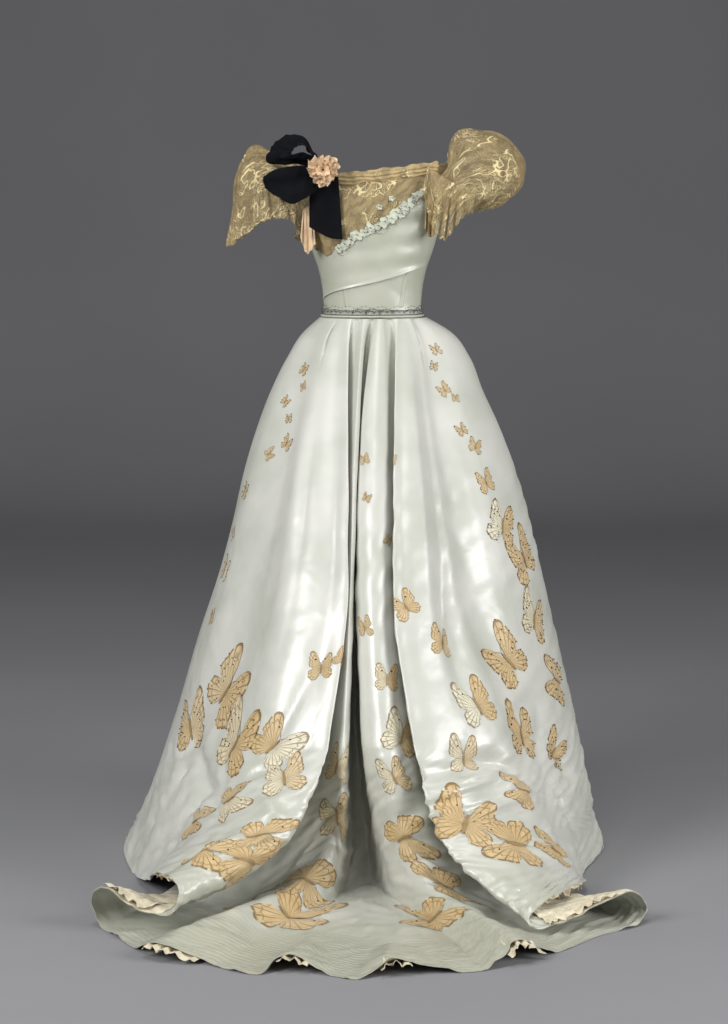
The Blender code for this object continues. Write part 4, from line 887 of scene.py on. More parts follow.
class GownColours(bpy.types.PropertyGroup):
    """Colours of the gown and its stage"""

    satin: FloatVectorProperty(
        name="Satin", description="Silk satin of the skirt and bodice",
        subtype="COLOR", size=3, min=0, max=1, default=linear("#C9C9C1"),
    )
    cotton: FloatVectorProperty(
        name="Cotton", description="Lining and dust ruffles",
        subtype="COLOR", size=3, min=0, max=1, default=linear("#E0D6BC"),
    )
    net: FloatVectorProperty(
        name="Net", description="Ground of the lace",
        subtype="COLOR", size=3, min=0, max=1, default=linear("#BBA577"),
    )
    cord: FloatVectorProperty(
        name="Lace cord", description="Raised cords of the lace",
        subtype="COLOR", size=3, min=0, max=1, default=linear("#DAC898"),
    )
    velvet: FloatVectorProperty(
        name="Velvet", description="Bow",
        subtype="COLOR", size=3, min=0, max=1, default=linear("#090A0E"),
    )
    ribbon: FloatVectorProperty(
        name="Ribbon", description="Rosette and peach frill",
        subtype="COLOR", size=3, min=0, max=1, default=linear("#DFC3A0"),
    )
    gold: FloatVectorProperty(
        name="Gold silk", description="Gold wings of the butterflies",
        subtype="COLOR", size=3, min=0, max=1, default=linear("#CDB282"),
    )
    silver: FloatVectorProperty(
        name="Pale silk", description="Pale wings of the butterflies",
        subtype="COLOR", size=3, min=0, max=1, default=linear("#DEDBC4"),
    )
    outline: FloatVectorProperty(
        name="Outline", description="Couched outline and veins",
        subtype="COLOR", size=3, min=0, max=1, default=linear("#7A5F38"),
    )
    floor: FloatVectorProperty(
        name="Stage", description="Floor and backdrop",
        subtype="COLOR", size=3, min=0, max=1, default=linear("#8C8C8F"),
    )


class GownSizes(bpy.types.PropertyGroup):
    """Sizes of the gown's trimmings"""

    embroidery_lift: FloatProperty(
        name="Embroidery lift", description="How far the silk stands off the satin",
        subtype="DISTANCE", unit="LENGTH", default=0.0009, min=0.0002, max=0.003,
    )
    bead: FloatProperty(
        name="Bead radius", description="Radius of a cut bead",
        subtype="DISTANCE", unit="LENGTH", default=0.0014, min=0.0005, max=0.004,
    )
    frill_wave: FloatProperty(
        name="Frill wave", description="Depth of the waves of the dust ruffles",
        subtype="DISTANCE", unit="LENGTH", default=0.009, min=0.0, max=0.02,
    )
    sleeve_waves: IntProperty(
        name="Sleeve gathers", description="Gathers round the puffed sleeve",
        subtype="UNSIGNED", default=11, min=4, max=30,
    )


def colours():
    """The colours set in the scene, as plain tuples by name."""
    group = bpy.context.scene.gown_colours
    return {name: tuple(getattr(group, name)) for name in GownColours.__annotations__}


def bodice_satin():
    """The satin of the bodice, drape and waist, painted a darker, greener shade, which has none of the hem's
    woven lines.
    """
    return silk_satin(colours()["satin"], "bodice_silk_satin", hem_lines=False)


def ruched_tulle():
    """The net of the neck bands and the armhole, close and with few cords."""
    shades = colours()
    return needle_lace(shades["net"], shades["cord"], "ruched_tulle", openness=0.8, spread=0.58)


# Skirt, hem and ruffles

# Rows of the skirt where the facings and the ruffles begin, and the facings' clearance from the satin
FACING_TOP = 2.25
RUFFLE_TOP = 2.72
FACING_GAP = 0.0006

# Gores of the skirt by the names of the fold lines at their seams, and facings by fold line
GORE = "name node first last"
GORES = table(GORE, (
    ("satin_back_left", "skirt_back_left", "left back side", "centre back"),
    ("satin_back_right", "skirt_back_right", "centre back", "right back seam"),
    ("satin_side_right", "skirt_side_right", "right back seam", "right front seam"),
    ("satin_front", "skirt_front", "right front seam", "left front seam"),
    ("satin_side_left", "skirt_side_left", "left front seam", "left back side"),
))
FACINGS = table(GORE, (
    ("cotton_facing_left_upper", "lining_left_upper", 2.5, 5.5),
    ("cotton_facing_left_lower", "lining_left_lower", 7.5, 9.5),
    ("cotton_facing_right_upper", "lining_right_upper", 33.0, 35.5),
    ("cotton_facing_right_lower", "lining_right_lower", 28.5, 30.5),
))

# Frills inside the hem: their node, first and last fold line, clearance from the satin, and how far
# they pass the hem
FRILLS = table("name node first last clearance reach", (
    ("ruffle_left_upper", "dust_ruffle_left_upper", 2.9, 5.1, 3, 0),
    ("ruffle_left_lower", "dust_ruffle_left_lower", 7.9, 9.1, 4.5, 0),
    ("ruffle_right_upper", "dust_ruffle_right_upper", 33.3, 35.2, 3, 0),
    ("ruffle_right_lower", "dust_ruffle_right_lower", 29.3, 30.6, 3, 0),
    ("ruffle_left_ridge", "dust_ruffle_left_ridge", 13.55, 14.9, 1.6, 14),
    ("ruffle_left_floor", "dust_ruffle_left_floor", 16.7, 17.45, 1.6, 14),
    ("ruffle_right_floor", "dust_ruffle_right_floor", 19.7, 20.6, 1.6, 14),
    ("ruffle_right_ridge", "dust_ruffle_right_ridge", 23.4, 24.6, 1.6, 14),
), "clearance reach")


class GOWN_OT_skirt(bpy.types.Operator):
    """Hangs the five satin gores from the waist to the hem, with their folds and creases"""

    bl_idname = "gown.skirt"
    bl_label = "Skirt gores"

    def execute(self, context):
        finish = silk_satin(colours()["satin"])
        for gore in GORES:
            first, last = LINE_NUMBER[gore.first], LINE_NUMBER[gore.last]
            last += LINES if last < first else 0
            columns = slice(first * PER_LINE, last * PER_LINE + 1)
            face, normal = SKIRT.points[:, columns], SKIRT.normal[:, columns]
            lengths = (SKIRT.u[:, columns], SKIRT.v[:, columns])
            about = ([gore.node], "satin", "hung", ["waist_band"])
            lay_cloth(gore.name, face, finish, *about, normal=normal, lengths=lengths)
        return {"FINISHED"}


class GOWN_OT_facings(bpy.types.Operator):
    """Lays the cotton facings inside the hem where the train folds back"""

    bl_idname = "gown.facings"
    bl_label = "Hem facings"

    def execute(self, context):
        finish = plain_cotton(colours()["cotton"])
        rows = FINE_ROWS >= FACING_TOP
        for facing in FACINGS:
            columns = slice(round(facing.first * PER_LINE), round(facing.last * PER_LINE) + 1)
            normal = SKIRT.normal[rows, columns]
            face = SKIRT.points[rows, columns] - (SATIN_THICKNESS + FACING_GAP) * normal
            side = "left" if "_left_" in facing.node else "right"
            about = ([facing.node], "cotton", "laid", [f"satin_back_{side}"])
            lay_cloth(facing.name, face, finish, *about, normal=normal)
        return {"FINISHED"}


def ruffle_face(frill, wave_depth):
    """A gathered frill under the satin: its columns count the fold lines and its rows run from the
    seam to the free edge. The wave is a sine of the length run, with its phase and depth swayed by
    slower sines, and it grows from nothing at the seam."""
    count = round((frill.last - frill.first) * 140)
    columns = np.linspace(frill.first, frill.last, count) * PER_LINE
    rows = np.linspace(RUFFLE_TOP, 3.0, 14)
    place = np.interp(rows, FINE_ROWS, np.arange(len(FINE_ROWS)))
    row, column = np.meshgrid(place, columns, indexing="ij")
    surface = SKIRT.read(SKIRT.points, row, column)
    normal = unit(SKIRT.read(SKIRT.normal, row, column))
    grow = np.linspace(0.0, 1.0, len(rows))[:, None]
    run = running_lengths(surface)[0][-1:, :]
    phase = 2 * math.pi * run / 0.021 + 1.3 * np.sin(run * 41) + 0.8 * np.sin(run * 97 + 1)
    taper = np.sin(math.pi * np.linspace(0.02, 0.98, count))[None, :] ** 0.35
    waves = 0.5 + 0.38 * np.sin(phase) + 0.1 * np.sin(2.3 * phase)
    depth = frill.clearance + grow * wave_depth * taper * waves
    surface = surface + grow[..., None] ** 2 * frill.reach * unit(surface[-1:] - surface[:1])
    sag = grow * (0.0025 * taper * np.sin(0.5 * phase))
    surface = surface + sag[..., None] * unit(surface[-1:] - surface[:1])
    face = surface - depth[..., None] * normal
    face[..., 2] = np.maximum(face[..., 2], FLOOR + 0.0006)
    return face


class GOWN_OT_ruffles(bpy.types.Operator):
    """Gathers the cream dust ruffles inside the hem"""

    bl_idname = "gown.ruffles"
    bl_label = "Dust ruffles"

    def execute(self, context):
        finish = plain_cotton(colours()["cotton"])
        for frill in FRILLS:
            fullness = 1.5 if frill.node.endswith("upper") else 1.0
            face = ruffle_face(frill, context.scene.gown_sizes.frill_wave * fullness)
            side = "left" if "_left_" in frill.node else "right"
            about = ([frill.node], "cotton", "gathered", [f"satin_back_{side}"])
            lay_cloth(frill.name, face, finish, *about, thickness=THIN)
        return {"FINISHED"}


# Bodice


def torso(turn, z, out=0.0):
    """A point of the bodice at a turn in degrees from the left side and a height: a superellipse of
    the section's half width and depth, moved out."""
    turn = np.radians(turn)
    cosine, sine = np.cos(turn), np.sin(turn)
    wide = read_table(TORSO, "z", "half_width", z) + out
    back, front = read_table(TORSO, "z", "back", z), read_table(TORSO, "z", "front", z)
    deep = np.where(sine >= 0, back, front) + out
    radius = (np.abs(cosine) ** ROUNDNESS + np.abs(sine) ** ROUNDNESS) ** (-1 / ROUNDNESS)
    return np.stack(np.broadcast_arrays(wide * radius * cosine, deep * radius * sine, z), axis=-1)


def neck_height(turn):
    """Height of the neckline at a turn."""
    return read_table(NECKLINE, "turn", "z", np.mod(turn, 360.0))


def armhole_turn(z):
    """Half turn of the armhole's edge above its middle height."""
    lift = np.clip((z - ARMHOLE_HEIGHT) / UNDERARM_DROP, 0.0, 1.0)
    return ARMHOLE_LEAD + ARMHOLE_TURN * np.sqrt(1 - lift**2)


def armhole_sill(turn):
    """Height of the armhole's lower edge at a turn from the side."""
    share = np.clip((turn - ARMHOLE_LEAD) / ARMHOLE_TURN, -1.0, 1.0)
    return ARMHOLE_HEIGHT - UNDERARM_DROP * np.sqrt(1 - share**2)


BACK_SEAM_TURN = (17.0, ARMHOLE_LEAD + ARMHOLE_TURN)
FRONT_SEAM_TURN = (-20.0, ARMHOLE_LEAD - ARMHOLE_TURN)
LAP_TURN = 1.6


def seam_turn(ends, z):
    """Turn of a side seam, in proportion from its foot at the waist to its head at the armhole."""
    return ends[0] + (ends[1] - ends[0]) * np.clip(z / ARMHOLE_HEIGHT, 0.0, 1.0)


def back_edge(z):
    """Turn of the back panel's edge at each height: its side seam, then the armhole."""
    return np.where(z < ARMHOLE_HEIGHT, seam_turn(BACK_SEAM_TURN, z), armhole_turn(z))


def front_edge(z):
    """Turn of the front panel's edge at each height: its side seam, then the armhole."""
    return np.where(z < ARMHOLE_HEIGHT, seam_turn(FRONT_SEAM_TURN, z), 2 * ARMHOLE_LEAD - armhole_turn(z))


def panel_grid(left_edge, right_edge, levels, cols):
    """Turns and heights of a panel: side edges are functions of height and levels are functions of
    turn, settled by a few passes since each depends on the other."""
    share = np.linspace(0.0, 1.0, cols)[None, :]
    z = np.array([level(np.full(cols, 90.0)) for level in levels])
    for _ in range(12):
        turn = left_edge(z) + (right_edge(z) - left_edge(z)) * share
        z = np.array([level(turn[number]) for number, level in enumerate(levels)])
    return turn, z


def back_grid(levels, cols):
    """Turns and heights of a panel across the back, between the armholes and side seams."""
    return panel_grid(back_edge, lambda z: 180 - back_edge(z), levels, cols)


def even_levels(head, foot, count):
    """Levels spread evenly from the head to the foot."""
    return [
        lambda turn, share=share: head(turn) + (foot(turn) - head(turn)) * share
        for share in np.linspace(0.0, 1.0, count)
    ]


def level_foot(turn):
    """Height of the bodice's foot, the same all round."""
    return BODICE_FOOT + 0.0 * turn


# Diagonal edges on the back, as heights by the turn from the left side
DIAGONALS = table("turn drape_foot yoke_foot", (
    (15, 30, 150),
    (45, 46, 122),
    (70, 56, 146),
    (90, 64, 170),
    (110, 74, 196),
    (130, 86, 228),
    (165, 100, 250),
), "drape_foot yoke_foot")


def drape_foot(turn):
    """Height of the drape's lower edge at a turn."""
    return read_table(DIAGONALS, "turn", "drape_foot", turn)


def yoke_edge(turn):
    """Height of the yoke's lower edge at a turn, before its scallops."""
    return read_table(DIAGONALS, "turn", "yoke_foot", turn)


def yoke_foot(turn):
    """The yoke's scalloped foot: arches of 18 degrees with smaller ones between."""
    arch = np.abs(np.sin(np.radians(turn) * 10))
    small = np.abs(np.sin(np.radians(turn) * 30 + 0.4))
    return yoke_edge(turn) - 0.006 * arch - 0.0022 * small


BODICE_SEAMS = (58.0, 122.0)


class GOWN_OT_bodice(bpy.types.Operator):
    """Fits the satin back, front and side panels of the bodice to the torso"""

    bl_idname = "gown.bodice"
    bl_label = "Bodice panels"

    def execute(self, context):
        finish = bodice_satin()
        turn, z = back_grid(even_levels(neck_height, level_foot, 90), 150)
        out = 0.0 * turn
        for seam in BODICE_SEAMS:
            lean = (seam - 90) * (1 + 0.3 * z / 0.2) + 90
            out = out - 0.0012 * hump(turn, lean, 1.1) + 0.0007 * hump(turn - lean, 2.0, 1.3)
        self.panel(turn, z, out, "satin_bodice_back", "bodice_back", finish)
        turn, z = panel_grid(
            lambda z: 180 - front_edge(z),
            lambda z: 360 + front_edge(z),
            even_levels(neck_height, level_foot, 90),
            140,
        )
        out = -0.0012 * hump(turn, 270, 0.9)
        for dart in (246, 294):
            out = out - 0.001 * hump(turn, dart, 1.0) * smooth_step(0.17, 0.12, z)
        self.panel(turn, z, out, "satin_bodice_front", "bodice_front", finish)
        turn, z = panel_grid(
            lambda z: seam_turn(FRONT_SEAM_TURN, z) - LAP_TURN,
            lambda z: seam_turn(BACK_SEAM_TURN, z) + LAP_TURN,
            even_levels(lambda turn: armhole_sill(turn * 0.8), level_foot, 70),
            50,
        )
        inside = -0.0016 + 0.0 * turn
        self.panel(turn, z, inside, "satin_bodice_side_left", "bodice_side_left", finish)
        self.panel(180.0 - turn, z, inside, "satin_bodice_side_right", "bodice_side_right", finish)
        return {"FINISHED"}

    def panel(self, turn, z, out, name, node_name, finish):
        """One panel: the torso at its turns and heights, moved out."""
        face = torso(turn, z, out)
        normal = grid_normal(face)
        normal = normal * np.sign((normal * (face * (1, 1, 0))).sum())
        lay_cloth(name, face, finish, [node_name], "satin", "stretched", ["waist_band"], normal=normal)


class GOWN_OT_drape(bpy.types.Operator):
    """Draws the satin drape slantwise across the back"""

    bl_idname = "gown.drape"
    bl_label = "Back drape"

    def execute(self, context):
        levels = even_levels(lambda turn: yoke_edge(turn) + 0.012, drape_foot, 80)
        turn, z = back_grid(levels, 150)
        down = np.linspace(0.0, 1.0, 80)[:, None]
        share = (turn - turn[:, :1]) / (turn[:, -1:] - turn[:, :1])
        slant = z * 60 - share * 2.4
        folds = 0.0009 * np.sin(slant * 2.6 + 1.2 * share) * smooth_step(0.0, 0.5, share)
        pulls = 0.0014 * hump(share - 0.8, 0.12 * down, 0.05) * smooth_step(1.0, 0.5, down)
        roll = 0.0016 * hump(1 - down, 0, 0.035)
        face = torso(turn, z, SEAM_GAP + 0.0012 + folds + pulls + roll)
        about = (["back_drape"], "satin", "stretched", ["satin_bodice_back"])
        lay_cloth("satin_drape", face, bodice_satin(), *about)
        return {"FINISHED"}


class GOWN_OT_yoke(bpy.types.Operator):
    """Lays the ecru lace yoke over the back, with its scalloped foot"""

    bl_idname = "gown.yoke"
    bl_label = "Lace yoke"

    def execute(self, context):
        shades = colours()
        # The yoke's net is drawn darker, at 0.82 of the lace's net colour
        deep_net = dyed(shades["net"], 0.82)
        finish = needle_lace(deep_net, shades["cord"], "tan_net_yoke", openness=0.62, spread=0.52)
        turn, z = back_grid(even_levels(neck_height, yoke_foot, 60), 240)
        u = np.radians(turn) * 0.11
        out = 0.0035 + 0.0005 * waviness(u * 40, z * 14, 8, 21)
        face = torso(turn, z, out)
        about = (["lace_yoke"], "lace", "stretched", ["satin_drape"])
        lay_cloth("lace_back_yoke", face, finish, *about, thickness=THIN)
        return {"FINISHED"}


# Ruched bands of the neck by their node, first and last turn, and stand-off from the torso
BANDS = table("name node first last out", (
    ("ruched_neck_band_back", "neck_band_back", 41.5, 138.5, 4),
    ("ruched_neck_band_front", "neck_band_front", 228, 312, 0.4),
), "out")


class GOWN_OT_neck_bands(bpy.types.Operator):
    """Gathers the ruched tulle bands along the neckline"""

    bl_idname = "gown.neck_bands"
    bl_label = "Ruched neck bands"

    def execute(self, context):
        finish = ruched_tulle()
        for band in BANDS:
            turns = np.linspace(band.first, band.last, 320)[None, :]
            down = np.linspace(0.0, 1.0, 44)[:, None]
            run = np.radians(turns) * 0.12
            height = 0.0115 + 0.0012 * np.sin(run * 130) + 0.0008 * np.sin(run * 310 + 1)
            z = neck_height(turns) - 0.0035 + height * (1 - 2 * down)
            dome = np.sqrt(np.clip(1 - (2 * down - 1) ** 2, 0.0, 1.0))
            folds = np.sin(2 * math.pi * (3.2 * down + 0.35 * np.sin(run * 55)) + 0.7 * np.sin(run * 190))
            tucks = np.sin(run * 420 + 3 * np.sin(run * 60) + 5 * down)
            out = band.out + dome * (0.0042 + 0.0013 * folds + 0.0006 * tucks)
            face = torso(turns + 0.0 * down, z, out)
            about = ([band.node], "lace", "gathered", ["lace_back_yoke"])
            lay_cloth(band.name, face, finish, *about, thickness=THINNEST)
        return {"FINISHED"}


# Sleeves

LAP_ON_BACK = 2 * LAYER + 3 * SEAM_GAP
LAP_ON_FRONT = LAYER + SEAM_GAP
LAP_MIDDLE = math.radians(50)
LAP_FULL = math.cos(math.radians(50))
LAP_NONE = math.cos(math.radians(95))


def armhole_ring(side, angles):
    """The sleeve's first ring, lapped over the armhole's edge, with angles from the top."""
    turn = ARMHOLE_LEAD + ARMHOLE_TURN * np.sin(angles)
    z = ARMHOLE_HEIGHT + UNDERARM_DROP * np.cos(angles)
    share = np.clip((np.cos(angles - LAP_MIDDLE) - LAP_NONE) / (LAP_FULL - LAP_NONE), 0.0, 1.0)
    lap = LAP_ON_FRONT + (LAP_ON_BACK - LAP_ON_FRONT) * share**2 * (3 - 2 * share)
    points = torso(turn, z) + (torso(turn, z, 1.0) - torso(turn, z)) * lap[:, None]
    points[..., 0] *= side
    return points


# Rings of the right puff, turned about the underarm: angle from straight up towards the outside,
# distance of the outer and inner points from the underarm, and half the depth
PUFF = table("lean outer inner depth", (
    (3, 133, 2, 73),
    (10, 168, 7, 87),
    (24, 184, 12, 98),
    (40, 189, 18, 101),
    (54, 182, 24, 94),
    (64, 163, 31, 81),
    (71, 130, 37, 60),
    (76, 100, 42, 42),
), "outer inner depth")
UNDERARM = np.array((0.141, -0.002, 0.183))


def puff_face(waves):
    """The puffed sleeve: rings through the table, each an ellipse about the underarm, with gathers as
    sines round it that are deepest at both seams, and crumples over the middle."""
    angles = circle(300)
    rings = [armhole_ring(-1, angles)]
    for row in PUFF:
        lean = math.radians(row.lean)
        up = np.array((-math.sin(lean), 0.0, math.cos(lean)))
        middle, half = 0.5 * (row.outer + row.inner), 0.5 * (row.outer - row.inner)
        tall = up * (half * np.cos(angles))[:, None]
        deep = np.array((0, 1.0, 0)) * (row.depth * np.sin(angles))[:, None]
        rings.append(UNDERARM * (-1, 1, 1) + up * middle + (tall + deep))
    face = bend(np.stack(rings), np.linspace(0, len(PUFF), 120))
    share = np.linspace(0, 1, 120)[:, None]
    sway = angles[None, :] + 0.1 * np.sin(3 * angles + 5 * share)
    seams = 0.35 + 0.65 * (hump(share, 0, 0.25) + hump(1 - share, 0, 0.22))
    gathers = np.sin(sway * waves + 1.5 * share) + 0.45 * np.sin(sway * waves * 2.4 + 4 * share)
    crumple = waviness(sway * 2.2, share * 5.0, 10, 11)
    out = seams * 0.0026 * gathers + 0.004 * crumple * np.sin(math.pi * share)
    out = out * smooth_step(0.0, 0.05, share)
    return face + out[..., None] * outward(face)


def outward(face):
    """Normals of a closed ring grid, turned away from its middle."""
    normal = grid_normal(face, True)
    away = face - face.mean(axis=1, keepdims=True)
    return normal * np.sign((normal * away).sum())


class GOWN_OT_puff(bpy.types.Operator):
    """Blows out the right sleeve as a puff of lace, gathered at the armhole and the cuff"""

    bl_idname = "gown.puff"
    bl_label = "Right puff sleeve"

    def execute(self, context):
        shades = colours()
        finish = needle_lace(shades["net"], shades["cord"])
        face = puff_face(context.scene.gown_sizes.sleeve_waves)
        about = (["sleeve_right_puff"], "lace", "gathered", ["satin_bodice_back"], True)
        lay_cloth("lace_puff_right", face, finish, *about, thickness=SLEEVE_THICKNESS, normal=outward(face))
        return {"FINISHED"}


# Leaves of cloth that hang by their upper edge: points of that edge and of the foot, in order
LEAF = "top_x top_y top_z foot_x foot_y foot_z"
FALL = table(LEAF, (
    (-0.104, 0.0824, 0.284, -0.094, 0.104, 0.24),
    (-0.124, 0.087, 0.268, -0.111, 0.108, 0.18),
    (-0.147, 0.0925, 0.254, -0.134, 0.109, 0.15),
    (-0.17, 0.094, 0.243, -0.163, 0.102, 0.182),
    (-0.194, 0.0953, 0.232, -0.196, 0.095, 0.214),
))
TULLE = table(LEAF, (
    (-0.1, 0.0804, 0.236, -0.098, 0.086, 0.166),
    (-0.11, 0.0747, 0.226, -0.108, 0.083, 0.15),
    (-0.119, 0.069, 0.216, -0.12, 0.079, 0.156),
))
PEACH_FRILL = table(LEAF, (
    (0.132, 0.0628, 0.2, 0.136, 0.075, 0.15),
    (0.122, 0.0662, 0.21, 0.123, 0.08, 0.122),
    (0.112, 0.0722, 0.214, 0.108, 0.086, 0.14),
))


def both_edges(rows, at, round_off=bend):
    """Smooth curves through the first points of a table's rows and through the second ones."""
    points = np.array(rows)
    return round_off(points[:, :3], at), round_off(points[:, 3:], at)


def leaf_face(rows, waves, depth, scallop=0.0, seed=0):
    """A ruffled leaf: straight from its upper edge to its foot, waved outwards by sines that grow
    towards the foot, which ends in small arches."""
    count = waves * 28 + 1
    at = np.linspace(0, len(rows) - 1, count)
    top, foot = both_edges(rows, at)
    share = np.linspace(0, 1, 40)[:, None, None]
    run = np.linspace(0, waves, count)[None, :, None]
    phase = 2 * math.pi * run + 0.9 * np.sin(run * 1.7 + seed)
    wave = np.sin(phase) + 0.3 * np.sin(2.6 * phase + 2 * share)
    arches = scallop * np.abs(np.sin(run * math.pi * 1.5)) * share**4
    face = top + (foot - top) * (share + arches)
    return face + np.array((0.0, 1.0, 0.0)) * depth * wave * share**0.8


class GOWN_OT_falls(bpy.types.Operator):
    """Hangs the lace fall, the net at the armhole and the peach frill under the sleeves"""

    bl_idname = "gown.falls"
    bl_label = "Falls and frills"

    def execute(self, context):
        shades = colours()
        lace = needle_lace(shades["net"], shades["cord"])
        net, peach = ruched_tulle(), silk_ribbon(shades["ribbon"])
        pieces = (
            ("lace_fall_right", "sleeve_right_fall", FALL, 7, 0.006, 0.07, lace, "lace"),
            ("net_at_right_armhole", "sleeve_right_tulle", TULLE, 3, 0.004, 0.0, net, "lace"),
            ("peach_frill_left", "sleeve_left_frill", PEACH_FRILL, 3, 0.004, 0.05, peach, "ribbon"),
        )
        for name, node_name, rows, waves, depth, scallop, finish, slot in pieces:
            face = leaf_face(rows, waves, depth, scallop)
            about = ([node_name], slot, "gathered", ["satin_bodice_back"])
            lay_cloth(name, face, finish, *about, thickness=THIN)
        return {"FINISHED"}


# The left flounce: places round it, from the outside by way of the back, with a middle and a hem point
FLOUNCE = table("mid_x mid_y mid_z hem_x hem_y hem_z", (
    (232, 0, 318, 274, 0, 134),
    (228, 52, 300, 256, 52, 146),
    (196, 92, 272, 200, 88, 184),
    (160, 88, 236, 160, 86, 186),
    (136, 52, 182, 142, 58, 168),
    (138, 0, 162, 144, 0, 146),
    (140, -56, 180, 146, -60, 166),
    (156, -94, 236, 158, -90, 186),
    (196, -94, 272, 200, -90, 184),
    (228, -52, 300, 256, -52, 146),
), "all")
FLOUNCE_WAVES = 12
FLOUNCE_CENTRE = np.array((0.165, 0.0, 0.225))


def flounce_face():
    """The flounce: a smooth wall from the armhole through the middle points to the hem, waved
    outwards by sines that grow towards a hem of small arches."""
    angles = circle(420)
    places = angles / (2 * math.pi) * len(FLOUNCE)
    armhole = armhole_ring(1, angles)
    middle, hem = both_edges(FLOUNCE, places, bend_round)
    wave = np.sin(angles * FLOUNCE_WAVES)[:, None]
    middle = middle + unit(middle - FLOUNCE_CENTRE) * 0.002 * wave
    hem = hem + unit((hem - FLOUNCE_CENTRE) * (1, 1, 0.15)) * 0.006 * wave
    arches = np.abs(np.sin(angles * FLOUNCE_WAVES * 2))[:, None]
    hem = hem + unit(hem - middle) * 0.0035 * arches
    face = bend(np.stack([armhole, middle, hem]), np.linspace(0, 2, 90))
    share = np.linspace(0, 1, 90)[:, None]
    fine = 0.0015 * np.sin(angles * FLOUNCE_WAVES * 3.0 + 4 * share + np.sin(angles * 5)) * share
    crumple = 0.003 * waviness(angles[None, :] * 1.8, share * 4.5, 10, 17) * np.sin(math.pi * share)
    return face + (fine + crumple)[..., None] * outward(face)


class GOWN_OT_flounce(bpy.types.Operator):
    """Lets the lace flounce of the left sleeve fall from the armhole"""

    bl_idname = "gown.flounce"
    bl_label = "Left lace flounce"

    def execute(self, context):
        shades = colours()
        finish = needle_lace(shades["net"], shades["cord"])
        face = flounce_face()
        about = (["sleeve_left_flounce"], "lace", "gathered", ["satin_bodice_back"], True)
        lay_cloth("lace_flounce_left", face, finish, *about, thickness=SLEEVE_THICKNESS, normal=outward(face))
        return {"FINISHED"}


# Bow and rosette

# Loops of the bow: places round each ribbon ring, with a point of its back and of its front edge
LOOP = "back_x back_y back_z front_x front_y front_z"
BOW_LOOP = table(LOOP, (
    (0.1015, 0.108, 0.289, 0.1005, 0.12, 0.29),
    (0.16, 0.1047, 0.287, 0.126, 0.1327, 0.305),
    (0.198, 0.1017, 0.29, 0.15, 0.1397, 0.303),
    (0.19, 0.0997, 0.318, 0.148, 0.1417, 0.311),
    (0.165, 0.0987, 0.34, 0.138, 0.1407, 0.319),
    (0.136, 0.1007, 0.341, 0.125, 0.1337, 0.319),
    (0.114, 0.1047, 0.314, 0.118, 0.1257, 0.308),
))
BOW_WING = table(LOOP, (
    (0.102, 0.1147, 0.281, 0.103, 0.1147, 0.238),
    (0.15, 0.1247, 0.282, 0.148, 0.1247, 0.214),
    (0.186, 0.1227, 0.274, 0.18, 0.1227, 0.228),
    (0.205, 0.1107, 0.262, 0.202, 0.1107, 0.243),
    (0.186, 0.0997, 0.272, 0.18, 0.0987, 0.226),
    (0.15, 0.0987, 0.278, 0.148, 0.0977, 0.212),
    (0.1035, 0.1047, 0.276, 0.104, 0.1047, 0.242),
))
BOW_TAIL = table(LEAF, (
    (0.118, 0.0987, 0.262, 0.119, 0.097, 0.169),
    (0.101, 0.1007, 0.266, 0.1, 0.103, 0.158),
    (0.083, 0.1007, 0.266, 0.078, 0.101, 0.148),
    (0.064, 0.1007, 0.262, 0.056, 0.1, 0.146),
))
KNOTS = table("z half_width half_depth", (
    (252, 6, 10),
    (262, 9, 14.4),
    (288, 9, 14.4),
    (300, 6, 10),
), "all")
KNOT_CENTRE = np.array((0.092, 0.115, 0.0))
ROSETTE = np.array((0.092, 0.1309, 0.275))


def ribbon_face(rows, seed):
    """A ribbon ring: straight between its back and front edges, and crumpled across by soft sines."""
    at = np.linspace(0, len(rows), 160, endpoint=False)
    back, front = both_edges(rows, at, bend_round)
    share = np.linspace(0, 1, 40)[:, None, None]
    face = back + (front - back) * share
    run = (at / len(rows) * 2 * math.pi)[None, :]
    down = np.linspace(0, 1, 40)[:, None]
    rolls = 0.0016 * np.sin(2 * math.pi * down * 1.4 + 2 * np.sin(run + seed))
    crumple = rolls + 0.0014 * waviness(np.sin(run) * 2.2, down * 2.0, 8, 30 + seed)
    return face + crumple[..., None] * outward(face)


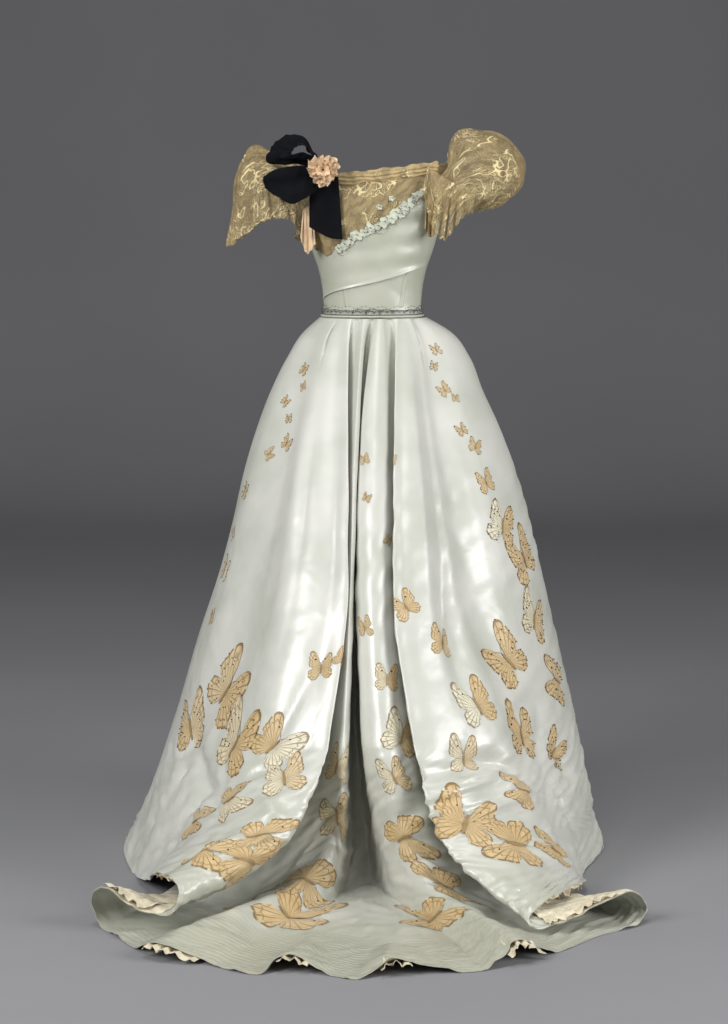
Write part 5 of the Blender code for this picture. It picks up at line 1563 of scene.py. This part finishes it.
class GOWN_OT_bow(bpy.types.Operator):
    """Ties the midnight velvet bow: its loop, wing, knot and tail"""

    bl_idname = "gown.bow"
    bl_label = "Velvet bow"

    def execute(self, context):
        finish = silk_velvet(colours()["velvet"])
        rings = (("velvet_loop", "bow_loop", BOW_LOOP, 1), ("velvet_wing", "bow_wing", BOW_WING, 2))
        for name, node_name, rows, seed in rings:
            face = ribbon_face(rows, seed)
            about = ([node_name], "velvet", "folded", ["velvet_knot"], True)
            lay_cloth(name, face, finish, *about, thickness=VELVET_THICKNESS, normal=outward(face))
        top, foot = both_edges(BOW_TAIL, np.linspace(0, 3, 70))
        share = np.linspace(0, 1, 80)[:, None, None]
        across = np.linspace(0, 1, 70)[None, :, None]
        folds = 0.0022 * np.sin(2 * math.pi * (across * 1.3 + 0.25 * share)) * share**0.5
        kick = 0.004 * hump(share, 0.97, 0.06) * across
        face = top + (foot - top) * share + np.array((0.0, 1.0, 0.0)) * (folds + kick)
        about = (["bow_tail"], "velvet", "hung", ["velvet_knot"])
        lay_cloth("velvet_tail", face, finish, *about, thickness=0.0012)
        angles = circle(60)
        z = np.linspace(KNOTS[0].z, KNOTS[-1].z, 40)[:, None]
        wide, deep = read_table(KNOTS, "z", "half_width", z), read_table(KNOTS, "z", "half_depth", z)
        pinch = 1 + 0.08 * np.sin(angles * 5 + 40 * z)
        shape = [wide * pinch * np.cos(angles), deep * pinch * np.sin(angles), z + 0.0 * angles]
        roll = np.stack(np.broadcast_arrays(*shape), axis=-1) + KNOT_CENTRE
        wall = {"thickness": VELVET_THICKNESS, "closed": True, "normal": outward(roll)}
        attach(cloth("velvet_knot", roll, finish, **wall), "velvet", "bow_knot")
        return {"FINISHED"}


# Layers of the rosette: inner and outer radius, place along its axis, cupping, waves and their depth
PETALS = table("name node inner outer rise cup waves depth", (
    ("peach_petals_outer", "rosette_outer", 6, 31, 0, 4, 13, 5),
    ("peach_petals_second", "rosette_outer", 5, 27, 4, 8, 11, 5),
    ("peach_petals_third", "rosette_inner", 4, 21, 7, 11, 10, 4.5),
    ("peach_petals_inner", "rosette_inner", 2, 14, 9, 14, 7, 4),
), "inner outer rise cup depth")


class GOWN_OT_rosette(bpy.types.Operator):
    """Gathers the peach ribbon rosette over the knot"""

    bl_idname = "gown.rosette"
    bl_label = "Ribbon rosette"

    def execute(self, context):
        finish = silk_ribbon(colours()["ribbon"])
        for number, petal in enumerate(PETALS):
            angles = circle(300)[None, :]
            share = np.linspace(0, 1, 22)[:, None]
            notches = 0.16 * np.abs(np.sin(angles * (petal.waves / 2) + number))
            ragged = 1 + 0.1 * np.sin(angles * 3 + number) - notches
            radius = petal.inner + (petal.outer * ragged - petal.inner) * share
            phase = petal.waves * angles + 0.8 * np.sin(2 * angles + number)
            wave = np.sin(phase) + 0.4 * np.sin(2.3 * phase + 1)
            lift = petal.rise + share**1.5 * (petal.cup + petal.depth * wave)
            sway = angles + 0.1 * share * np.sin(phase + 1.2)
            face = ROSETTE + np.stack([radius * np.cos(sway), lift, radius * np.sin(sway)], axis=-1)
            about = ([petal.node], "ribbon", "gathered", ["velvet_knot"], True)
            lay_cloth(petal.name, face, finish, *about, thickness=THINNEST)
        return {"FINISHED"}


# Beads


def bead_shapes(centres, radius):
    """Points and faces of cut beads: six-sided double cones with a flat belt, one at each centre."""
    angles = np.arange(6) / 6 * 2 * math.pi
    ring = np.stack([np.cos(angles), np.sin(angles)], 1)
    steps = ((0.62, 0.75), (1.0, 0.3), (1.0, -0.3), (0.62, -0.75))
    belts = [np.column_stack([ring * scale, np.full(6, lift)]) for scale, lift in steps]
    shape = np.concatenate(belts)
    faces = grid_faces(4, 6, True)
    cap = np.array([[0, 1, 2, 3], [0, 3, 4, 5], [18, 21, 20, 19], [18, 23, 22, 21]])
    faces = turned_out(shape, np.concatenate([faces, cap]))
    points = centres[:, None, :] + np.reshape(radius, (-1, 1, 1)) * shape[None]
    numbers = faces[None] + (np.arange(len(centres)) * len(shape))[:, None, None]
    return points.reshape(-1, 3), numbers.reshape(-1, 4)


class GOWN_OT_waist(bpy.types.Operator):
    """Sews the beaded scroll band and the corded piping round the waist"""

    bl_idname = "gown.waist"
    bl_label = "Waist band and piping"

    def execute(self, context):
        satin = bodice_satin()
        turns = np.linspace(0, 360, 360, endpoint=False)[None, :]
        down = np.linspace(0, 1, 12)[:, None]
        run = np.radians(turns)
        crest = BAND_TOP + 0.0022 * np.abs(np.sin(run * 12)) - 0.0012
        z = crest + (BAND_FOOT - crest) * down
        face = torso(turns, z, 0.0011 + 0.0004 * np.sin(math.pi * down))
        about = (["waist_band"], "braid", "stretched", ["satin_bodice_back"], True)
        lay_cloth("satin_waist_band", face, satin, *about, thickness=THINNEST, normal=outward(face))
        angles = circle(14)[:, None]
        turns = np.linspace(0, 360, 720, endpoint=False)[None, :]
        cord = 0.0022 + 0.0003 * np.sin(angles * 2 + np.radians(turns) * 150)
        ring = torso(turns, -0.0003 + cord * np.sin(angles), 0.0026 + cord * np.cos(angles))
        faces = grid_faces(15, 720, True) % (14 * 720)
        points = ring.reshape(-1, 3)
        fields = {"cloth": points[:, :2] * 1.0}
        piping = new_piece("corded_piping", points, turned_out(points, faces), satin, fields)
        attach(piping, "satin", "waist_piping")
        steel = cut_beads(linear("#8F9290"), "cut_steel_beads", 0.25, 0.8)
        scroll = np.linspace(0, 360, 1100, endpoint=False)
        rows = []
        scrolls = ((24, 0.0, 3.4, 0.0052), (24, 2.6, 2.2, 0.0034), (48, 1.0, 0.9, 0.0016))
        for waves, phase, swing, rise in scrolls:
            turn = np.radians(scroll) * waves + phase
            z = 0.0098 + rise * np.cos(turn) * (0.75 + 0.25 * np.sin(np.radians(scroll) * 5))
            rows.append(torso(scroll + swing * np.sin(turn), z, 0.0028)[::2])
        rows.append(torso(scroll[::4], 0.0034 + 0.0 * scroll[::4], 0.003))
        rows.append(torso(scroll[::14], 0.0178 + 0.0022 * np.sin(scroll[::14] * 1.7), 0.0022))
        points, faces = bead_shapes(np.concatenate(rows), 0.001)
        attach(new_piece("steel_beads_waist", points, faces, steel), "braid")
        return {"FINISHED"}


# Flowers applied along the foot of the yoke: turn and height of their middles, radius and first turn
BLOSSOMS = table("turn z radius lean", (
    (60, 128, 9, 10), (66, 136, 11, 40), (72, 144, 9, 75), (77, 153, 12, 20), (83, 158, 9, 55),
    (88, 166, 11, 30), (94, 170, 8, 5), (99, 178, 11, 65), (104, 184, 12, 15), (107, 196, 10, 45),
    (112, 192, 9, 35), (114, 206, 12, 25), (119, 214, 10, 60), (122, 226, 11, 0), (127, 234, 9, 50),
    (104, 222, 6, 0), (95, 206, 6, 30),
), "z radius")


def on_torso(turn, z, across, up, out):
    """A point of the torso reached from a turn and height by `across` metres round it and `up`."""
    reach = np.linalg.norm(torso(turn + 0.5, z) - torso(turn - 0.5, z), axis=-1)
    return torso(turn + across / reach, z + up, out)


class GOWN_OT_blossoms(bpy.types.Operator):
    """Applies pale satin blossoms and bead sprays along the foot of the yoke"""

    bl_idname = "gown.blossoms"
    bl_label = "Yoke blossoms and sprays"

    def execute(self, context):
        size = context.scene.gown_sizes.bead
        silk = silk_ribbon(linear("#BEC3B0"), "pale_applied_silk")
        jet = cut_beads(linear("#2E2D2C"), "jet_beads", 0.2, 0.3)
        angles, share = np.linspace(0, 2 * math.pi, 60), np.linspace(0.02, 1, 9)[:, None]
        points, faces, sprays = [], [], []
        for number, blossom in enumerate(BLOSSOMS):
            turned = angles + math.radians(blossom.lean)
            reach = blossom.radius * (0.85 + 0.1 * np.cos(5 * angles) + 0.12 * np.sin(2 * angles + number))
            cup = 0.0048 + 0.0004 * np.sin(5 * angles + number) * share + 0.0 * angles
            x, y = share * reach * np.cos(turned), share * reach * np.sin(turned)
            grid = on_torso(blossom.turn, blossom.z, x, y, cup)
            faces.append(grid_faces(9, 60, False) + sum(len(p) for p in points))
            points.append(grid.reshape(-1, 3))
            stem = np.linspace(0, 1, 11)
            curl = math.radians(blossom.lean * 3 + 200) + stem * 2.6
            far, heart = 0.006 + 0.018 * stem, stem[:4] * 6
            x, y = far * np.cos(curl), far * np.sin(curl)
            sprays.append(on_torso(blossom.turn, blossom.z, x, y, 0.0066))
            x, y = 0.002 * np.cos(heart), 0.002 * np.sin(heart)
            sprays.append(on_torso(blossom.turn, blossom.z, x, y, 0.0078))
        petals = new_piece("applied_blossoms", np.concatenate(points), np.concatenate(faces), silk)
        attach(petals, "satin")
        bead_points, bead_faces = bead_shapes(np.concatenate(sprays), 0.6 * size)
        attach(new_piece("jet_bead_sprays", bead_points, bead_faces, jet), "braid")
        return {"FINISHED"}


# Embroidered butterflies by fold line and row: length of the fore wing, lean in degrees from
# upright, how pale the left and right wings are, and whether beads are sewn along them
BUTTERFLIES = table("line row wing lean left_tone right_tone beads", (
    (2.0, 0.13, 13, 20, 0.1, 0.2, 1), (2.35, 0.17, 11, -30, 0.3, 0.1, 0),
    (1.58, 0.21, 12, 40, 0.2, 0.2, 1), (1.95, 0.25, 10, -10, 0.1, 0.4, 1),
    (2.1, 0.31, 17, 25, 0.1, 0.2, 1), (1.5, 0.34, 15, 60, 0.3, 0.1, 0),
    (0.85, 0.44, 18, 15, 0.1, 0.3, 1), (0.7, 0.55, 16, -35, 0.8, 0.2, 0),
    (0.75, 0.64, 26, 10, 0.2, 0.8, 1), (0.8, 0.76, 18, -20, 0.2, 0.2, 0),
    (1.95, 0.92, 88, 32, 0.25, 0.05, 1), (1.05, 1.12, 70, -24, 0.1, 0.35, 1),
    (2.95, 1.12, 86, 14, 0.55, 0.0, 1), (4.3, 1.02, 62, 38, 0.05, 0.85, 0),
    (4.95, 1.36, 55, -22, 0.75, 0.3, 0), (5.3, 0.82, 33, -8, 0.15, 0.05, 0),
    (6.2, 0.8, 22, 30, 0.1, 0.1, 0), (3.6, 1.66, 58, 58, 0.15, 0.7, 0),
    (2.7, 1.95, 50, 75, 0.3, 0.1, 0), (5.2, 2.08, 62, 70, 0.05, 0.1, 0),
    (5.85, 2.4, 75, 55, 0.0, 0.05, 0), (4.5, 2.5, 60, 80, 0.1, 0.0, 0),
    (13.5, 1.2, 45, 12, 0.2, 0.6, 0), (13.9, 1.62, 55, -18, 0.7, 0.3, 0),
    (14.0, 2.2, 75, 60, 0.05, 0.1, 0), (14.9, 2.42, 100, 84, 0.0, 0.05, 0),
    (12.6, 2.3, 55, 40, 0.1, 0.2, 0), (23.4, 0.34, 13, -15, 0.2, 0.1, 0),
    (23.6, 0.43, 11, 20, 0.1, 0.2, 0), (25.0, 0.53, 12, 35, 0.2, 0.1, 0),
    (23.5, 0.73, 22, -10, 0.1, 0.2, 0), (24.4, 0.85, 32, 8, 0.6, 0.0, 0),
    (24.8, 0.98, 50, 24, 0.9, 0.1, 0), (24.2, 1.26, 40, -14, 0.8, 0.25, 0),
    (24.0, 1.72, 60, 66, 0.0, 0.1, 0), (24.6, 2.1, 70, 78, 0.05, 0.0, 0),
    (23.2, 2.42, 100, -82, 0.05, 0.0, 0), (31.5, 0.34, 13, 10, 0.2, 0.2, 0),
    (32.7, 0.68, 34, -28, 0.15, 0.05, 0), (33.9, 0.77, 38, 18, 0.05, 0.1, 0),
    (34.5, 0.92, 58, -12, 0.95, 0.05, 0), (33.7, 1.12, 44, 6, 0.75, 0.35, 0),
    (34.9, 1.52, 50, -62, 0.1, 0.2, 0), (32.9, 1.84, 80, 34, 0.0, 0.05, 0),
    (33.8, 2.16, 82, -70, 0.05, 0.0, 0), (34.8, 2.34, 55, -40, 0.1, 0.1, 0),
    (36.5, 0.08, 13, -15, 0.4, 0.5, 1), (36.15, 0.12, 10, 20, 0.3, 0.3, 1),
    (36.45, 0.18, 15, -35, 0.2, 0.1, 1), (36.8, 0.2, 10, 10, 0.1, 0.3, 0),
    (36.7, 0.28, 14, -20, 0.1, 0.2, 1), (37.0, 0.32, 18, 25, 0.2, 0.1, 1),
    (37.05, 0.41, 26, -10, 0.1, 0.1, 1), (37.2, 0.52, 50, 22, 0.95, 0.1, 1),
    (37.75, 0.61, 62, -26, 0.15, 0.1, 1), (37.6, 0.76, 60, 30, 0.8, 0.15, 1),
    (36.5, 0.84, 70, -34, 0.05, 0.1, 1), (38.0, 0.92, 58, -60, 0.1, 0.2, 1),
    (36.1, 1.06, 66, 16, 0.05, 0.15, 1), (37.2, 1.34, 52, 48, 0.1, 0.1, 1),
), "wing")

# Wings by the angles in degrees where they leave the body, their reach as shares of the fore wing's
# length at even steps from the low angle to the high one, and the arches at the rim
WINGS = table("low high reach arches depth", (
    (4, 76, (0.36, 0.6, 0.66, 0.7, 0.78, 0.9, 1.0, 0.96, 0.56), 4, 0.01),
    (-78, 10, (0.22, 0.52, 0.64, 0.7, 0.72, 0.7, 0.64, 0.52, 0.34), 4, 0.028),
))


# Beads sewn on the butterflies stand this far off the satin
BEAD_LIFT = 0.0014


def wing_outline(wing, around):
    """The reach of a wing at shares around it: its table joined smoothly, with small arches."""
    at = np.ravel(around) * (len(wing.reach) - 1)
    reach = bend(np.array(wing.reach, float)[:, None], at)[:, 0].reshape(np.shape(around))
    return reach * (1 + wing.depth * np.sin(around * wing.arches * 2 * math.pi))


class GOWN_OT_butterflies(bpy.types.Operator):
    """Embroiders the butterflies over the skirt, with beads along the wings near the sides"""

    bl_idname = "gown.butterflies"
    bl_label = "Embroidered butterflies"

    def execute(self, context):
        shades, sizes = colours(), context.scene.gown_sizes
        silk = couched_silk(shades["gold"], shades["silver"], shades["outline"])
        self.points, self.faces, self.maps, self.tones, self.beads, self.radii = [], [], [], [], [], []
        for number, butterfly in enumerate(BUTTERFLIES):
            self.one(butterfly, number, sizes.embroidery_lift, sizes.bead)
        fields = {"wing": np.concatenate(self.maps), "tone": np.concatenate(self.tones)}
        points, faces = np.concatenate(self.points), np.concatenate(self.faces)
        attach(new_piece("embroidered_butterflies", points, faces, silk, fields), "satin")
        jet = cut_beads(linear("#2E2D2C"), "jet_beads", 0.2, 0.3)
        points, faces = bead_shapes(np.concatenate(self.beads), np.concatenate(self.radii))
        attach(new_piece("jet_beads_skirt", points, faces, jet), "braid")
        return {"FINISHED"}

    def one(self, butterfly, number, lift, bead):
        """One butterfly: its four wings, its body and its feelers."""
        draw = np.random.default_rng(100 + number)
        fine = butterfly.wing > 0.03
        for side, tone in ((-1, butterfly.left_tone), (1, butterfly.right_tone)):
            for wing in WINGS:
                around = np.linspace(0, 1, 22 if fine else 12)[None, :]
                outwards = np.linspace(0.04, 1, 14 if fine else 7)[:, None]
                angle = np.radians(wing.low + (wing.high - wing.low) * around + draw.uniform(-6, 6))
                length = butterfly.wing * (1.14 if fine else 1.25) * draw.uniform(0.92, 1.06)
                reach = wing_outline(wing, around) * length * outwards
                x, y = side * reach * np.cos(angle), reach * np.sin(angle)
                shape = np.broadcast_arrays(x, y, around, outwards)
                self.patch(butterfly, *shape, tone, lift, side > 0)
                if butterfly.beads:
                    self.sew(butterfly, *shape[:2], draw, bead, fine)
        spine = np.linspace(-0.3, 0.34, 9)[:, None] * butterfly.wing
        girth = np.array((-1.0, -0.4, 0.4, 1.0))[None, :] * 0.045 * butterfly.wing
        round_off = np.sqrt(np.clip(1 - (np.linspace(-1, 1, 9) ** 2)[:, None], 0.02, 1))
        x, y = np.broadcast_arrays(girth * round_off, spine)
        self.patch(butterfly, x, y, 0.0 * x, 0.5 + 0.0 * x, 0.0, 1.8 * lift, True)
        for side in (-1, 1):
            along = np.linspace(0, 1, 8)[:, None]
            width = np.array((-1.0, 1.0))[None, :] * max(0.0006, 0.012 * butterfly.wing)
            x = side * (0.03 + 0.26 * along) * butterfly.wing + width
            y = (0.34 + 0.34 * along - 0.12 * along**2) * butterfly.wing + 0.0 * width
            self.patch(butterfly, x, y, 0.0 * x, 0.5 + 0.0 * x, 0.0, 1.2 * lift, True)
            self.beads.append(self.place(butterfly, x[-1, :1], y[-1, :1], BEAD_LIFT))
            self.radii.append(np.full(1, bead * (1.1 if fine else 0.6)))

    def place(self, butterfly, x, y, out):
        """Points of the cloth at lengths across and up, turned by the butterfly's lean, and moved out."""
        lean = math.radians(butterfly.lean)
        across = x * math.cos(lean) + y * math.sin(lean)
        up = y * math.cos(lean) - x * math.sin(lean)
        return SKIRT.lay(butterfly.line, butterfly.row, across, up, out)

    def patch(self, butterfly, x, y, around, outwards, tone, lift, keep):
        """Adds one grid of embroidery, laid on the cloth."""
        swell = lift * (0.75 + 0.5 * np.sin(math.pi * np.clip(outwards, 0, 1)))
        points = self.place(butterfly, x, y, swell[..., None])
        faces = grid_faces(*x.shape, False)
        faces = faces if keep else faces[:, ::-1]
        self.faces.append(faces + sum(len(p) for p in self.points))
        self.points.append(points.reshape(-1, 3))
        self.maps.append(np.stack([around.ravel(), outwards.ravel()], 1))
        self.tones.append(np.full(x.size, float(tone)))

    def sew(self, butterfly, x, y, draw, bead, fine):
        """Adds beads along a wing's rim and a few over it."""
        rim = slice(3, None, 7 if fine else 5)
        rows = [self.place(butterfly, x[-1, rim], y[-1, rim], BEAD_LIFT)]
        if fine:
            picks = (draw.integers(5, x.shape[0] - 2, 5), draw.integers(4, x.shape[1] - 4, 5))
            rows.append(self.place(butterfly, x[picks], y[picks], BEAD_LIFT + 0.0004))
        sewn = np.concatenate(rows)
        self.beads.append(sewn)
        self.radii.append(np.full(len(sewn), bead * (0.9 if fine else 0.6)))


# Stage


# Lamps by place, size and watts
LAMPS = (
    ("key", (2.9, 3.2, 1.5), 1.8, 165),
    ("side", (-3.2, 2.2, 0.5), 1.8, 115),
    ("top", (0.3, 1.8, 3.0), 1.6, 45),
)
LAMP_GOAL = (0.0, 0.2, -0.45)
# The camera stands behind the wearer and looks down a little; its focal length counts frame heights
CAMERA_PLACE = (0.016, 5.2, 0.22)
CAMERA_DIP = 6.59
FOCAL_HEIGHTS = 2704 / 1024
SENSOR = 36.0


class GOWN_OT_stage(bpy.types.Operator):
    """Sets the floor, the soft studio lights and the camera"""

    bl_idname = "gown.stage"
    bl_label = "Stage, lights and camera"

    def execute(self, context):
        floor = painted_stage(colours()["floor"], "pale_painted_studio")
        x = np.linspace(-9, 9, 30)[None, :]
        sweep = np.linspace(0, 1, 60)[:, None]
        bend_at, radius = 0.62, 1.2
        turn = np.clip((sweep - bend_at) / 0.12, 0, 1) * math.pi / 2
        flat = 9.0 - np.minimum(sweep, bend_at) / bend_at * 14.2
        rise = np.clip((sweep - bend_at - 0.12) / (1 - bend_at - 0.12), 0, 1) * 4.5
        y = flat - radius * np.sin(turn)
        z = FLOOR - 0.0004 + radius * (1 - np.cos(turn)) + rise
        points = np.stack(np.broadcast_arrays(x, y, z), axis=-1).reshape(-1, 3)
        new_piece("studio_sweep", points, grid_faces(60, 30, False), floor)
        for name, place, size, power in LAMPS:
            lamp = bpy.data.lights.new(f"softbox_{name}", "AREA")
            lamp.shape, lamp.size, lamp.energy = "SQUARE", size, power
            holder = bpy.data.objects.new(f"softbox_{name}", lamp)
            self.aim(holder, place, LAMP_GOAL)
            context.collection.objects.link(holder)
        world = bpy.data.worlds.new("studio_air")
        world.use_nodes = True
        background = world.node_tree.nodes["Background"]
        plug(world.node_tree, background, {"Color": (*linear("#BBBBBA"), 1.0), "Strength": 0.3})
        context.scene.world = world
        lens = bpy.data.cameras.new("view_from_the_back")
        lens.sensor_fit, lens.sensor_height, lens.lens = "VERTICAL", SENSOR, FOCAL_HEIGHTS * SENSOR
        camera = bpy.data.objects.new("view_from_the_back", lens)
        camera.location = CAMERA_PLACE
        camera.rotation_euler = (math.radians(90 - CAMERA_DIP), 0.0, math.radians(180))
        context.collection.objects.link(camera)
        context.scene.camera = camera
        context.scene.view_settings.view_transform = "Standard"
        return {"FINISHED"}

    def aim(self, holder, place, goal):
        """Turns a lamp so that it shines from its place to the goal."""
        away = unit(np.array(place) - np.array(goal))
        holder.location = place
        holder.rotation_euler = (math.acos(away[2]), 0.0, math.atan2(away[1], away[0]) + math.pi / 2)


OPERATORS = (
    GOWN_OT_stage,
    GOWN_OT_skirt,
    GOWN_OT_facings,
    GOWN_OT_ruffles,
    GOWN_OT_bodice,
    GOWN_OT_drape,
    GOWN_OT_yoke,
    GOWN_OT_neck_bands,
    GOWN_OT_puff,
    GOWN_OT_falls,
    GOWN_OT_flounce,
    GOWN_OT_bow,
    GOWN_OT_rosette,
    GOWN_OT_waist,
    GOWN_OT_blossoms,
    GOWN_OT_butterflies,
)


class GOWN_PT_dresser(bpy.types.Panel):
    """Lists the gown's pieces and settings in the sidebar"""

    bl_idname = "GOWN_PT_dresser"
    bl_label = "Gown"
    bl_space_type = "VIEW_3D"
    bl_region_type = "UI"
    bl_category = "Gown"

    def draw(self, context):
        for group in (context.scene.gown_colours, context.scene.gown_sizes):
            for name in group.__annotations__:
                self.layout.prop(group, name)
        for operator in OPERATORS:
            self.layout.operator(operator.bl_idname)


CLASSES = (GownColours, GownSizes, *OPERATORS, GOWN_PT_dresser)


def register():
    """Registers the classes and hangs both groups of settings on the scene."""
    for kind in CLASSES:
        bpy.utils.register_class(kind)
    bpy.types.Scene.gown_colours = PointerProperty(type=GownColours)
    bpy.types.Scene.gown_sizes = PointerProperty(type=GownSizes)


def unregister():
    """Takes the settings off the scene and the classes out again."""
    del bpy.types.Scene.gown_sizes
    del bpy.types.Scene.gown_colours
    for kind in reversed(CLASSES):
        bpy.utils.unregister_class(kind)


def main():
    """Registers the add-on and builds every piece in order."""
    register()
    for operator in OPERATORS:
        getattr(bpy.ops.gown, operator.bl_idname.split(".")[1])()


if __name__ == "__main__":
    main()
